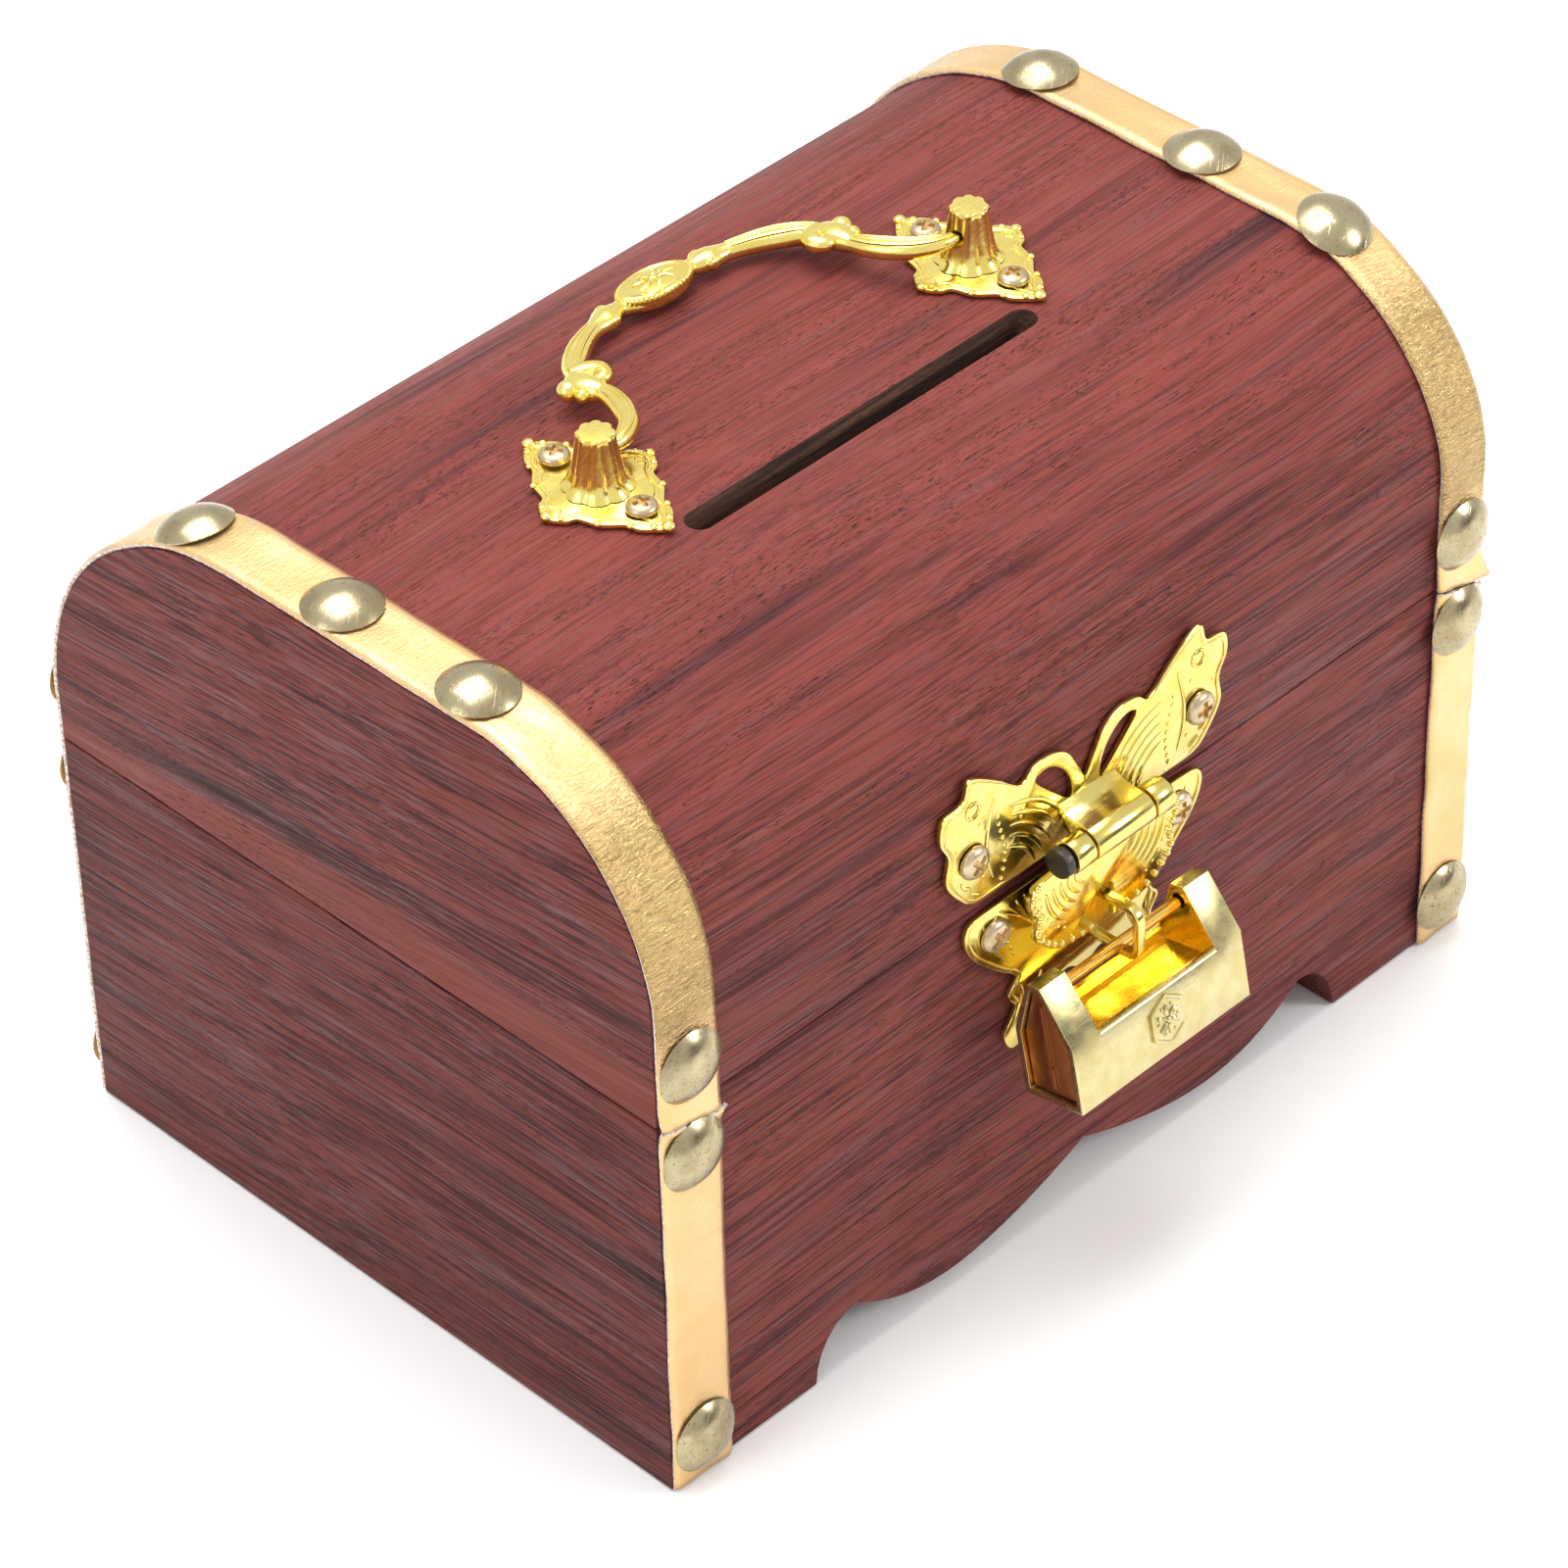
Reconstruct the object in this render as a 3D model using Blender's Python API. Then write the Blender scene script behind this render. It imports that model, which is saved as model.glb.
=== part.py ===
"""A wooden money box shaped like a small treasure chest.

A boarded box carries a round-topped lid on two butt hinges. Leather straps held by dome tacks cover
both ends, a folding brass handle and a coin slot sit on top, and a butterfly latch with a bar padlock
closes the front. Metres, +X along the long side, -Y towards the front, +Z up, standing on z = 0.
"""
import math

import bmesh
import bpy
from mathutils import Matrix, Vector

# ---------------------------------------------------------------- driving dimensions
GAP = 0.0003              # air between pieces that touch on the real object
LENGTH = 0.154            # along X
DEPTH = 0.110             # along Y, wood only
HEIGHT = 0.108            # to the top of the lid
PARTING = 0.062           # height at which lid and box meet
BOARD = 0.008             # thickness of every board
FRONT_SHOULDER = 0.030    # radius of the lid's front shoulder
BACK_SHOULDER = 0.038     # radius of the lid's back shoulder
FLOOR_LOW = 0.0105        # underside of the floor board
FLOOR_THICK = 0.0045

APRON_TOP = 0.0092        # highest point of the cut-out under the front board
APRON_LOW = 0.0029        # lowest point of the two lobes that hang in it
APRON_LOBE = 0.0244       # distance of each lobe's lowest point from the middle
APRON_ROUND = 0.0432      # where the round corner of the cut-out starts
APRON_END = 0.0507        # where the feet begin

SLOT_LENGTH = 0.0625      # coin slot
SLOT_WIDTH = 0.0042
SLOT_Y = -0.0164

STRAP_WIDTH = {-1: 0.0102, 1: 0.0090}      # left and right
STRAP_THICK = 0.0007
STRAP_SLANT = -0.0025     # how far the cut between lid strap and box strap falls towards +X
TACK_RADIUS = 0.0053
TACK_RISE = 0.0022
TACK_X = 0.0720
LID_TACKS_Y = {-1: (0.0291, 0.0021, -0.0264), 1: (0.0200, -0.0091, -0.0360)}
LID_SIDE_TACK_Z = 0.0700
BOX_TACKS_Z = (0.0556, 0.0072)

PLATE = 0.0008            # sheet brass
PLATE_FRONT = -DEPTH / 2 - GAP - PLATE      # visible face of the latch plates, before CHEST_Y
LATCH_X = -0.0015         # the latch sits a little left of the middle
PIN_Y = -0.0610           # axis of the hasp's pin
PIN_Z = 0.0675
KNUCKLE = 0.0024          # outer radius of the latch knuckles
HASP_PIN = 0.0009
HASP_BACK = PIN_Y + KNUCKLE
HASP_THICK = 0.0010
FORK = 0.0016             # half width of the slot in the hasp
FORK_TOP = -0.0066        # middle of the slot's round top, from the parting
TAB_HALF = 0.0053         # half width of the upper plate's rolled tab
TAB_TOP = 0.0711          # where the tab leaves the plate
TAB_FOOT = 0.0692
HASP_KNUCKLE = (0.0057, 0.0090)             # from the middle of the latch
PIN_SPAN = (-0.0100, 0.0102)
PIN_HEAD = 0.0021
PIN_HEAD_SPAN = (-0.0108, -0.0093)
STAPLE_BELOW = 0.0023     # the staple's loop, from the bar's axis
STAPLE_ABOVE = 0.0063
STAPLE_NOSE = 0.0030
STAPLE_STRIP = 0.0012
STAPLE_HALF = 0.0007
STAPLE_CORNER = 0.0016
LATCH_SCREWS = ((0.0210, 0.0716), (0.0172, 0.0573))
LATCH_SCREW = 0.0024      # radius of a screw head on the latch
HANDLE_SCREW = 0.0021     # and on the handle
SCREW_RISE = 0.0011

LOCK_X = -0.0023          # middle of the padlock
BAR_Y = -0.0630           # axis of the padlock's bar
BAR_Z = 0.0496
BAR_RADIUS = 0.0008
LOCK_TILT = math.radians(11)                # the padlock's foot leans out from the box
LOCK_HALF = 0.0160
LOCK_NOTCH = 0.0111       # half length of the gap in the padlock's roof
LOCK_FOOT = -0.0155       # below the bar
LOCK_EAVES = -0.0054
LOCK_RIDGE = 0.0023
LOCK_FRONT = 0.0055       # in front of the bar
LOCK_BACK = 0.0045
LOCK_WALL = 0.0009
LOCK_BEVELS = 0.0011      # half width of the padlock's flat ridge
ROOF_FLOOR = 0.0015       # how far the gap's floor lies below the eaves
SPRING_ROOM = -0.0080     # top of the hollow that takes the spring leaves
END_RECESS = 0.0021       # how deep the padlock's left end is hollowed
END_INSET = 0.0006        # the end plate sits this far inside the padlock's left end
END_PLATE = 0.0012        # its thickness
END_RIDGE = 0.0004        # how far its ridge stands out
SPRING_LOW = -0.0130      # the two spring leaves
SPRING_HIGH = -0.0100

HANDLE_Y = -0.0029        # axis of the handle, and the middle of its two brackets
HANDLE_Z = HEIGHT + 0.0054
HANDLE_TILT = math.radians(-8.5)            # it rests on the lid, folded to the back
BRACKET_X = 0.0336
POST_FOOT = 0.0035        # radii of the fluted posts
POST_HEAD = 0.0026
POST_RISE = 0.0091
POST_LOBES = 8
PIN_END = 0.0324          # where the handle's ends stop inside the posts
PIN_RADIUS = 0.0009
BRACKET_SCREW = 0.0078    # from the middle of a bracket

HINGE_X = 0.040
HINGE_BARREL = 0.0015
HINGE_Y = DEPTH / 2 + GAP + PLATE + HINGE_BARREL
HINGE_WIDTH = 0.016
HINGE_LEAF = 0.009
HINGE_PIN = 0.0006

FRONT_REACH = -BAR_Y - DEPTH / 2 + LOCK_FRONT * math.cos(LOCK_TILT) - LOCK_FOOT * math.sin(LOCK_TILT)
BACK_REACH = HINGE_Y + HINGE_BARREL - DEPTH / 2
CHEST_Y = (FRONT_REACH - BACK_REACH) / 2    # puts the middle of the whole object on y = 0

COLOURS = {                # base colour, metallic, roughness
    "stained_wood": ((0.262, 0.058, 0.051), 0.0, 0.62),
    "gold_leather": ((0.90, 0.70, 0.38), 0.35, 0.42),
    "aged_brass": ((0.50, 0.42, 0.24), 1.0, 0.32),
    "bright_brass": ((0.90, 0.72, 0.22), 1.0, 0.22),
    "pale_brass": ((0.72, 0.60, 0.42), 1.0, 0.35),
    "dark_steel": ((0.09, 0.08, 0.07), 1.0, 0.45),
}


# ---------------------------------------------------------------- outlines
def arc(centre, radii, start, end, steps):
    """Points on an elliptical arc, angles in degrees, both ends included."""
    angles = [math.radians(start + (end - start) * i / steps) for i in range(steps + 1)]
    return [(centre[0] + radii[0] * math.cos(a), centre[1] + radii[1] * math.sin(a)) for a in angles]


def smooth(points, steps, closed=True):
    """A Catmull-Rom curve through the points."""
    count = len(points)
    out = []
    for i in range(count if closed else count - 1):
        near = [points[(i + k) % count] if closed else points[min(max(i + k, 0), count - 1)]
                for k in (-1, 0, 1, 2)]
        for s in range(steps):
            t = s / steps
            weights = (-t + 2 * t * t - t ** 3, 2 - 5 * t * t + 3 * t ** 3,
                       t + 4 * t * t - 3 * t ** 3, -t * t + t ** 3)
            out.append(tuple(sum(w * p[k] for w, p in zip(weights, near)) / 2 for k in (0, 1)))
    return out if closed else out + [points[-1]]


def both_halves(half):
    """A closed outline from its right half, which runs from the middle round to the middle."""
    return half + [(-x, z) for x, z in reversed(half) if x > 1e-6]


def arch(inset, bottom):
    """The lid's section from front to back as (y, z), pulled in by inset."""
    front = FRONT_SHOULDER - inset
    back = BACK_SHOULDER - inset
    side = DEPTH / 2
    return ([(-side + inset, bottom)]
            + arc((-side + FRONT_SHOULDER, HEIGHT - FRONT_SHOULDER), (front, front), 180, 90, 10)
            + arc((side - BACK_SHOULDER, HEIGHT - BACK_SHOULDER), (back, back), 90, 0, 12)
            + [(side - inset, bottom)])


def apron_edge():
    """The right half of the cut-out's edge, from the foot to the middle."""
    edge = arc((APRON_ROUND, 0), (APRON_END - APRON_ROUND, APRON_TOP), 0, 90, 6)
    steps = 8
    for i in range(1, steps + 1):
        t = 1 - i / steps
        edge.append((APRON_LOBE + (APRON_ROUND - APRON_LOBE) * t,
                     APRON_LOW + (APRON_TOP - APRON_LOW) * t ** 2.2))
    for i in range(1, steps + 1):
        t = i / steps
        edge.append((APRON_LOBE * (1 - t), APRON_LOW + (APRON_TOP - APRON_LOW) * t ** 1.7))
    return edge


# ---------------------------------------------------------------- solids
def prism(outline, axis, start, end):
    """The flat outline moved along an axis. Outlines are (y, z), (x, z) or (x, y)."""
    bm = bmesh.new()
    spread = {"X": lambda a, b: (start, a, b),
              "Y": lambda a, b: (a, start, b),
              "Z": lambda a, b: (a, b, start)}
    face = bm.faces.new([bm.verts.new(spread[axis](a, b)) for a, b in outline])
    made = bmesh.ops.extrude_face_region(bm, geom=[face])["geom"]
    step = Vector({"X": (1, 0, 0), "Y": (0, 1, 0), "Z": (0, 0, 1)}[axis]) * (end - start)
    bmesh.ops.translate(bm, vec=step, verts=[v for v in made if isinstance(v, bmesh.types.BMVert)])
    bmesh.ops.recalc_face_normals(bm, faces=bm.faces)
    return bm


def block(low, high):
    """A box between two corners."""
    bm = bmesh.new()
    size = Vector(high) - Vector(low)
    middle = (Vector(high) + Vector(low)) / 2
    bmesh.ops.create_cube(bm, size=1, matrix=Matrix.Translation(middle) @ Matrix.Diagonal((*size, 1)))
    return bm


def rod(centre, radius, start, end, steps=16):
    """A round bar along X round the point (y, z)."""
    return prism(arc(centre, (radius, radius), 0, 360 - 360 / steps, steps - 1), "X", start, end)


def seated(bm, place, turn):
    """The work moved from the origin to its place, leaning by turn about X."""
    matrix = Matrix.Translation(place) @ Matrix.Rotation(turn, 4, "X")
    bmesh.ops.transform(bm, matrix=matrix, verts=bm.verts)
    return bm


def dome(radius, rise, steps=16, rings=3):
    """A shallow cap that stands on z = 0."""
    ball = (radius ** 2 + rise ** 2) / (2 * rise)
    reach = math.asin(radius / ball)
    bm = bmesh.new()
    ring = bmesh.ops.create_circle(bm, cap_ends=False, segments=steps, radius=radius)["verts"]
    bmesh.ops.contextual_create(bm, geom=ring)
    edges = list(bm.edges)
    for i in range(1, rings + 1):
        angle = reach * (1 - i / rings)
        made = bmesh.ops.extrude_edge_only(bm, edges=edges)["geom"]
        verts = [v for v in made if isinstance(v, bmesh.types.BMVert)]
        edges = [e for e in made if isinstance(e, bmesh.types.BMEdge)]
        for v in verts:
            flat = Vector((v.co.x, v.co.y)).normalized() * ball * math.sin(angle)
            v.co = (flat.x, flat.y, ball * math.cos(angle) - ball + rise)
    bmesh.ops.remove_doubles(bm, verts=bm.verts, dist=1e-6)
    bmesh.ops.recalc_face_normals(bm, faces=bm.faces)
    return bm


# ---------------------------------------------------------------- scene helpers
def clear_scene():
    for old in list(bpy.data.objects):
        bpy.data.objects.remove(old)


def make_materials():
    made = {}
    for name, (colour, metallic, roughness) in COLOURS.items():
        material = bpy.data.materials.new(name)
        material.use_nodes = True
        shader = material.node_tree.nodes["Principled BSDF"]
        shader.inputs["Base Color"].default_value = (*colour, 1)
        shader.inputs["Metallic"].default_value = metallic
        shader.inputs["Roughness"].default_value = roughness
        material.diffuse_color = (*colour, 1)
        made[name] = material
    return made


def pivot(name, place, tilt=0.0):
    """An empty on a joint's axis, given before the shift by CHEST_Y."""
    empty = bpy.data.objects.new(name, None)
    empty.location = Vector(place) + Vector((0, CHEST_Y, 0))
    empty.rotation_euler = (tilt, 0, 0)
    empty.empty_display_size = 0.01
    bpy.context.collection.objects.link(empty)
    return empty


class Workshop:
    """Makes the named objects: keeps the materials and the pivots that they hang on."""

    def __init__(self):
        self.materials = make_materials()
        self.pivots = {
            "box": pivot("box_origin", (0, 0, 0)),
            "lid": pivot("lid_axis", (0, HINGE_Y, PARTING)),
            "hasp": pivot("hasp_axis", (LATCH_X, PIN_Y, PIN_Z)),
            "handle": pivot("handle_axis", (0, HANDLE_Y, HANDLE_Z), HANDLE_TILT),
            "padlock": pivot("padlock_axis", (LOCK_X, BAR_Y, BAR_Z), -LOCK_TILT),
        }

    def add(self, name, bm, material, body, local=False):
        """Turns a bmesh into an object. local says that it is built round its pivot already."""
        mesh = bpy.data.meshes.new(name)
        holder = self.pivots[body]
        if not local:
            bmesh.ops.translate(bm, vec=Vector((0, CHEST_Y, 0)) - holder.location, verts=bm.verts)
        bm.to_mesh(mesh)
        bm.free()
        mesh.shade_smooth()
        mesh.set_sharp_from_angle(angle=math.radians(35))
        piece = bpy.data.objects.new(name, mesh)
        piece.data.materials.append(self.materials[material])
        piece.parent = holder
        bpy.context.collection.objects.link(piece)
        return piece

    def tool(self, name, bm, body, local=False):
        """A cutter or a piece to join, which isn't part of the model."""
        guide = self.add(name, bm, "dark_steel", body, local)
        guide.hide_render = True
        guide.display_type = "WIRE"
        return guide


def combine(piece, other, operation):
    step = piece.modifiers.new(other.name, "BOOLEAN")
    step.operation = operation
    step.solver = "EXACT"
    step.object = other


# ---------------------------------------------------------------- wood
def make_box(shop):
    end = LENGTH / 2
    side = DEPTH / 2
    top = PARTING - GAP / 2
    inner = end - BOARD - GAP
    feet = [(inner, 0)] + apron_edge()
    front = both_halves(feet) + [(-inner, top), (inner, top)]
    shop.add("box_front_board", prism(front, "Y", -side, -side + BOARD), "stained_wood", "box")
    back = [(-inner, 0), (inner, 0), (inner, top), (-inner, top)]
    shop.add("box_back_board", prism(back, "Y", side - BOARD, side), "stained_wood", "box")
    for sign, name in ((-1, "box_left_board"), (1, "box_right_board")):
        low, high = sorted((sign * end, sign * (end - BOARD)))
        shop.add(name, block((low, -side, 0), (high, side, top)), "stained_wood", "box")
    wall = side - BOARD - GAP
    floor = block((-inner, -wall, FLOOR_LOW), (inner, wall, FLOOR_LOW + FLOOR_THICK))
    shop.add("box_floor_board", floor, "stained_wood", "box")


def make_lid(shop):
    end = LENGTH / 2
    inner = end - BOARD - GAP
    bottom = PARTING + GAP / 2
    section = arch(0, bottom) + arch(BOARD, bottom)[::-1]
    shell = shop.add("lid_top_shell", prism(section, "X", -inner, inner), "stained_wood", "lid")
    half = SLOT_LENGTH / 2 - SLOT_WIDTH / 2
    radii = (SLOT_WIDTH / 2, SLOT_WIDTH / 2)
    outline = arc((half, SLOT_Y), radii, -90, 90, 6) + arc((-half, SLOT_Y), radii, 90, 270, 6)
    slot = prism(outline, "Z", HEIGHT - 2 * BOARD, HEIGHT + BOARD)
    combine(shell, shop.tool("slot_cutter", slot, "lid"), "DIFFERENCE")
    for sign, name in ((-1, "lid_left_end"), (1, "lid_right_end")):
        low, high = sorted((sign * end, sign * (end - BOARD)))
        shop.add(name, prism(arch(0, bottom), "X", low, high), "stained_wood", "lid")


# ---------------------------------------------------------------- straps and tacks
def slanted(bm, low, high, edges):
    """Slants the strap ends whose heights are in edges, so that they fall towards +X."""
    for v in bm.verts:
        if any(abs(v.co.z - z) < 1e-5 for z in edges) and v.co.y < 0:
            v.co.z += STRAP_SLANT * (v.co.x - low) / (high - low)
    return bm


def make_straps(shop):
    inside = DEPTH / 2 + GAP
    outside = inside + STRAP_THICK
    top = PARTING - GAP
    bottom = PARTING + GAP
    for sign, side in ((-1, "left"), (1, "right")):
        low, high = sorted((sign * LENGTH / 2, sign * (LENGTH / 2 - STRAP_WIDTH[sign])))
        band = arch(-GAP - STRAP_THICK, bottom) + arch(-GAP, bottom)[::-1]
        strap = slanted(prism(band, "X", low, high), low, high, [bottom])
        shop.add(f"lid_strap_{side}", strap, "gold_leather", "lid")
        for face, name in ((-1, "front"), (1, "back")):
            near, far = sorted((face * inside, face * outside))
            strap = slanted(block((low, near, GAP), (high, far, top)), low, high, [top])
            shop.add(f"box_strap_{name}_{side}", strap, "gold_leather", "box")


def over_the_arch(y, rise):
    """Where a point at this y stands, rise above the lid, and how far it leans from upright."""
    if y < -DEPTH / 2 + FRONT_SHOULDER:
        y0, radius = -DEPTH / 2 + FRONT_SHOULDER, FRONT_SHOULDER
    elif y > DEPTH / 2 - BACK_SHOULDER:
        y0, radius = DEPTH / 2 - BACK_SHOULDER, BACK_SHOULDER
    else:
        return y, HEIGHT + rise, 0.0
    lean = math.asin((y - y0) / radius)
    out = radius + rise
    return y0 + out * math.sin(lean), HEIGHT - radius + out * math.cos(lean), -lean


def make_tacks(shop):
    lift = 2 * GAP + STRAP_THICK
    wall = DEPTH / 2 + lift
    places = []
    for sign, side in ((-1, "left"), (1, "right")):
        x = sign * TACK_X
        for i, y in enumerate(LID_TACKS_Y[sign]):
            at_y, at_z, lean = over_the_arch(y, lift)
            places.append((f"lid_tack_{side}_top_{i + 1}", (x, at_y, at_z), lean, "lid"))
        for name, face in (("front", -1), ("back", 1)):
            turn = -face * math.pi / 2
            places.append((f"lid_tack_{side}_{name}", (x, face * wall, LID_SIDE_TACK_Z), turn, "lid"))
            for i, z in enumerate(BOX_TACKS_Z):
                places.append((f"box_tack_{side}_{name}_{i + 1}", (x, face * wall, z), turn, "box"))
    for name, place, turn, body in places:
        shop.add(name, seated(dome(TACK_RADIUS, TACK_RISE), place, turn), "aged_brass", body)


def add_screw(shop, name, radius, place, turn, body):
    """A screw head on a plate, facing up, or forwards with a quarter turn."""
    head = dome(radius, SCREW_RISE, steps=14, rings=2)
    shop.add(name, seated(head, place, turn), "pale_brass", body)


# ---------------------------------------------------------------- back hinges
def hinge_leaf(shop, name, x, direction, body):
    """A leaf with its knuckles: the outer two on the box, the middle one on the lid."""
    near = DEPTH / 2 + GAP
    low, high = sorted((PARTING + direction * GAP, PARTING + direction * HINGE_LEAF))
    half = HINGE_WIDTH / 2
    third = half / 3
    leaf = block((x - half, near, low), (x + half, near + PLATE, high))
    piece = shop.add(name, leaf, "bright_brass", body)
    clear = HINGE_BARREL + GAP
    spans = [(-third + GAP, third - GAP)] if direction > 0 else [(-half, -third), (third, half)]
    gaps = [(-half - GAP, -third + GAP), (third - GAP, half + GAP)] if direction > 0 else [(-third, third)]
    for i, (a, b) in enumerate(gaps):
        cutter = rod((HINGE_Y, PARTING), clear, x + a, x + b, 20)
        combine(piece, shop.tool(f"{name}_clearance_{i}", cutter, body), "DIFFERENCE")
    for i, (a, b) in enumerate(spans):
        roll = rod((HINGE_Y, PARTING), HINGE_BARREL, x + a, x + b)
        knuckle = shop.tool(f"{name}_knuckle_{i}", roll, body)
        combine(piece, knuckle, "UNION")
        web = block((x + a, near + PLATE / 4, min(PARTING, PARTING + direction * HINGE_BARREL)),
                    (x + b, HINGE_Y, max(PARTING, PARTING + direction * HINGE_BARREL)))
        combine(piece, shop.tool(f"{name}_web_{i}", web, body), "UNION")
    bore = rod((HINGE_Y, PARTING), HINGE_PIN + GAP, x - HINGE_WIDTH, x + HINGE_WIDTH, 12)
    combine(piece, shop.tool(f"{name}_bore", bore, body), "DIFFERENCE")


def make_hinges(shop):
    for x, side in ((-HINGE_X, "left"), (HINGE_X, "right")):
        hinge_leaf(shop, f"hinge_leaf_lid_{side}", x, 1, "lid")
        hinge_leaf(shop, f"hinge_leaf_box_{side}", x, -1, "box")
        half = HINGE_WIDTH / 2 + GAP
        pin = rod((HINGE_Y, PARTING), HINGE_PIN, x - half, x + half, 12)
        shop.add(f"hinge_pin_{side}", pin, "bright_brass", "box")


# ---------------------------------------------------------------- latch
def latch_outline(half, steps):
    """A latch plate's outline from its right half in mm from the latch's middle and the parting."""
    points = smooth([(x / 1000, z / 1000) for x, z in half], steps, closed=False)
    return [(LATCH_X + x, PARTING + z) for x, z in both_halves(points)]


def make_upper_plate(shop):
    corners = [(0, 10.4), (1.6, 13.4), (3.6, 16.6), (6.4, 18.0), (9.6, 17.8), (12.0, 16.4),
               (16.4, 19.8), (21.2, 22.6), (22.6, 19.6), (26.0, 18.8), (26.6, 15.4), (25.2, 12.2),
               (25.6, 8.2), (23.4, 4.6), (20.6, 2.4), (15.0, 2.2), (8.0, 2.2), (0, 2.2)]
    plate = prism(latch_outline(corners, 3), "Y", PLATE_FRONT, PLATE_FRONT + PLATE)
    piece = shop.add("latch_upper_plate", plate, "bright_brass", "lid")
    eye = smooth([(2.9, 8.9), (2.7, 11.0), (3.9, 13.8), (6.2, 15.9), (8.3, 16.3), (9.3, 15.2),
                  (6.4, 12.0)], 2)
    for sign, side in ((-1, "left"), (1, "right")):
        loop = [(LATCH_X + sign * x / 1000, PARTING + z / 1000) for x, z in eye]
        cutter = prism(loop, "Y", PLATE_FRONT - PLATE, PLATE_FRONT + 2 * PLATE)
        combine(piece, shop.tool(f"antenna_{side}", cutter, "lid"), "DIFFERENCE")
    inside = PLATE_FRONT + PLATE / 2
    tab = [(inside, TAB_TOP), (PLATE_FRONT - PLATE / 4, TAB_TOP)]
    tab += arc((PIN_Y, PIN_Z), (KNUCKLE, KNUCKLE), 110, 350, 12)
    tab += [(inside, TAB_FOOT)]
    knuckle = prism(tab, "X", LATCH_X - TAB_HALF, LATCH_X + TAB_HALF)
    combine(piece, shop.tool("upper_knuckle", knuckle, "lid"), "UNION")
    bore = rod((PIN_Y, PIN_Z), HASP_PIN + GAP, LATCH_X - 2 * TAB_HALF, LATCH_X + 2 * TAB_HALF)
    combine(piece, shop.tool("upper_bore", bore, "lid"), "DIFFERENCE")


def make_hasp(shop):
    corners = [(5.6, 2.6), (5.7, 5.4), (9.0, 5.4), (9.2, 2.8), (13.2, 1.8), (13.8, -1.4), (12.6, -3.4),
               (13.0, -6.4), (11.2, -8.8), (8.4, -10.6), (4.4, -11.2), (1.61, -11.2)]
    edge = [(0, 2.3), (5.0, 2.3)] + smooth(corners, 3, closed=False)
    half = [(x / 1000, z / 1000) for x, z in edge] + arc((0, FORK_TOP), (FORK, FORK), 0, 90, 4)
    outline = [(LATCH_X + x, PARTING + z) for x, z in both_halves(half)]
    flap = prism(outline, "Y", HASP_BACK - HASP_THICK, HASP_BACK)
    piece = shop.add("latch_hasp", flap, "bright_brass", "hasp")
    for sign, side in ((-1, "left"), (1, "right")):
        start, end = sorted(LATCH_X + sign * x for x in HASP_KNUCKLE)
        knuckle = shop.tool(f"hasp_knuckle_{side}", rod((PIN_Y, PIN_Z), KNUCKLE, start, end, 20), "hasp")
        combine(piece, knuckle, "UNION")
    reach = 2 * HASP_KNUCKLE[1]
    bore = rod((PIN_Y, PIN_Z), HASP_PIN + GAP, LATCH_X - reach, LATCH_X + reach)
    combine(piece, shop.tool("hasp_bore", bore, "hasp"), "DIFFERENCE")


def make_hasp_pin(shop):
    pin = rod((PIN_Y, PIN_Z), HASP_PIN, *(LATCH_X + x for x in PIN_SPAN))
    piece = shop.add("latch_pin", pin, "dark_steel", "lid")
    head = rod((PIN_Y, PIN_Z), PIN_HEAD, *(LATCH_X + x for x in PIN_HEAD_SPAN))
    combine(piece, shop.tool("pin_head", head, "lid"), "UNION")


def make_lower_plate(shop):
    corners = [(0, -0.4), (12.0, -0.4), (19.4, -0.5), (21.4, -1.0), (22.3, -2.6), (21.9, -5.0),
               (20.2, -7.8), (16.6, -11.4), (12.8, -14.8), (14.2, -17.4), (12.9, -20.2),
               (15.0, -23.8), (13.2, -26.6), (9.4, -24.6), (6.4, -20.6), (3.0, -19.4), (0, -21.6)]
    plate = prism(latch_outline(corners, 3), "Y", PLATE_FRONT, PLATE_FRONT + PLATE)
    shop.add("latch_lower_plate", plate, "bright_brass", "box")
    foot = PLATE_FRONT - GAP
    low, high = BAR_Z - STAPLE_BELOW, BAR_Z + STAPLE_ABOVE
    nose = BAR_Y - STAPLE_NOSE
    corner = STAPLE_CORNER
    loop = [(foot, low)] + arc((nose + corner, low + corner), (corner, corner), 270, 180, 4)
    loop += arc((nose + corner, high - corner), (corner, corner), 180, 90, 4) + [(foot, high)]
    staple = prism(loop, "X", LATCH_X - STAPLE_HALF, LATCH_X + STAPLE_HALF)
    piece = shop.add("latch_staple", staple, "bright_brass", "box")
    strip = STAPLE_STRIP
    eye = block((LATCH_X - 2 * STAPLE_HALF, nose + strip, low + strip),
                (LATCH_X + 2 * STAPLE_HALF, foot - strip, high - strip))
    combine(piece, shop.tool("staple_eye", eye, "box"), "DIFFERENCE")


def make_latch(shop):
    make_upper_plate(shop)
    make_hasp(shop)
    make_hasp_pin(shop)
    make_lower_plate(shop)
    for sign, side in ((-1, "left"), (1, "right")):
        for (x, z), name, body in zip(LATCH_SCREWS, ("upper", "lower"), ("lid", "box")):
            place = (LATCH_X + sign * x, PLATE_FRONT - GAP, z)
            add_screw(shop, f"latch_screw_{name}_{side}", LATCH_SCREW, place, math.pi / 2, body)


# ---------------------------------------------------------------- padlock, built round its bar
def lock_section(inset):
    """The padlock's house-shaped section as (y, z) from the bar, pulled in by inset."""
    front = -LOCK_FRONT + inset
    back = LOCK_BACK - inset
    ridge = LOCK_BEVELS - inset / 3
    return [(front, LOCK_FOOT + inset), (back, LOCK_FOOT + inset), (back, LOCK_EAVES - inset / 3),
            (ridge, LOCK_RIDGE - inset), (-ridge, LOCK_RIDGE - inset), (front, LOCK_EAVES - inset / 3)]


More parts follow.
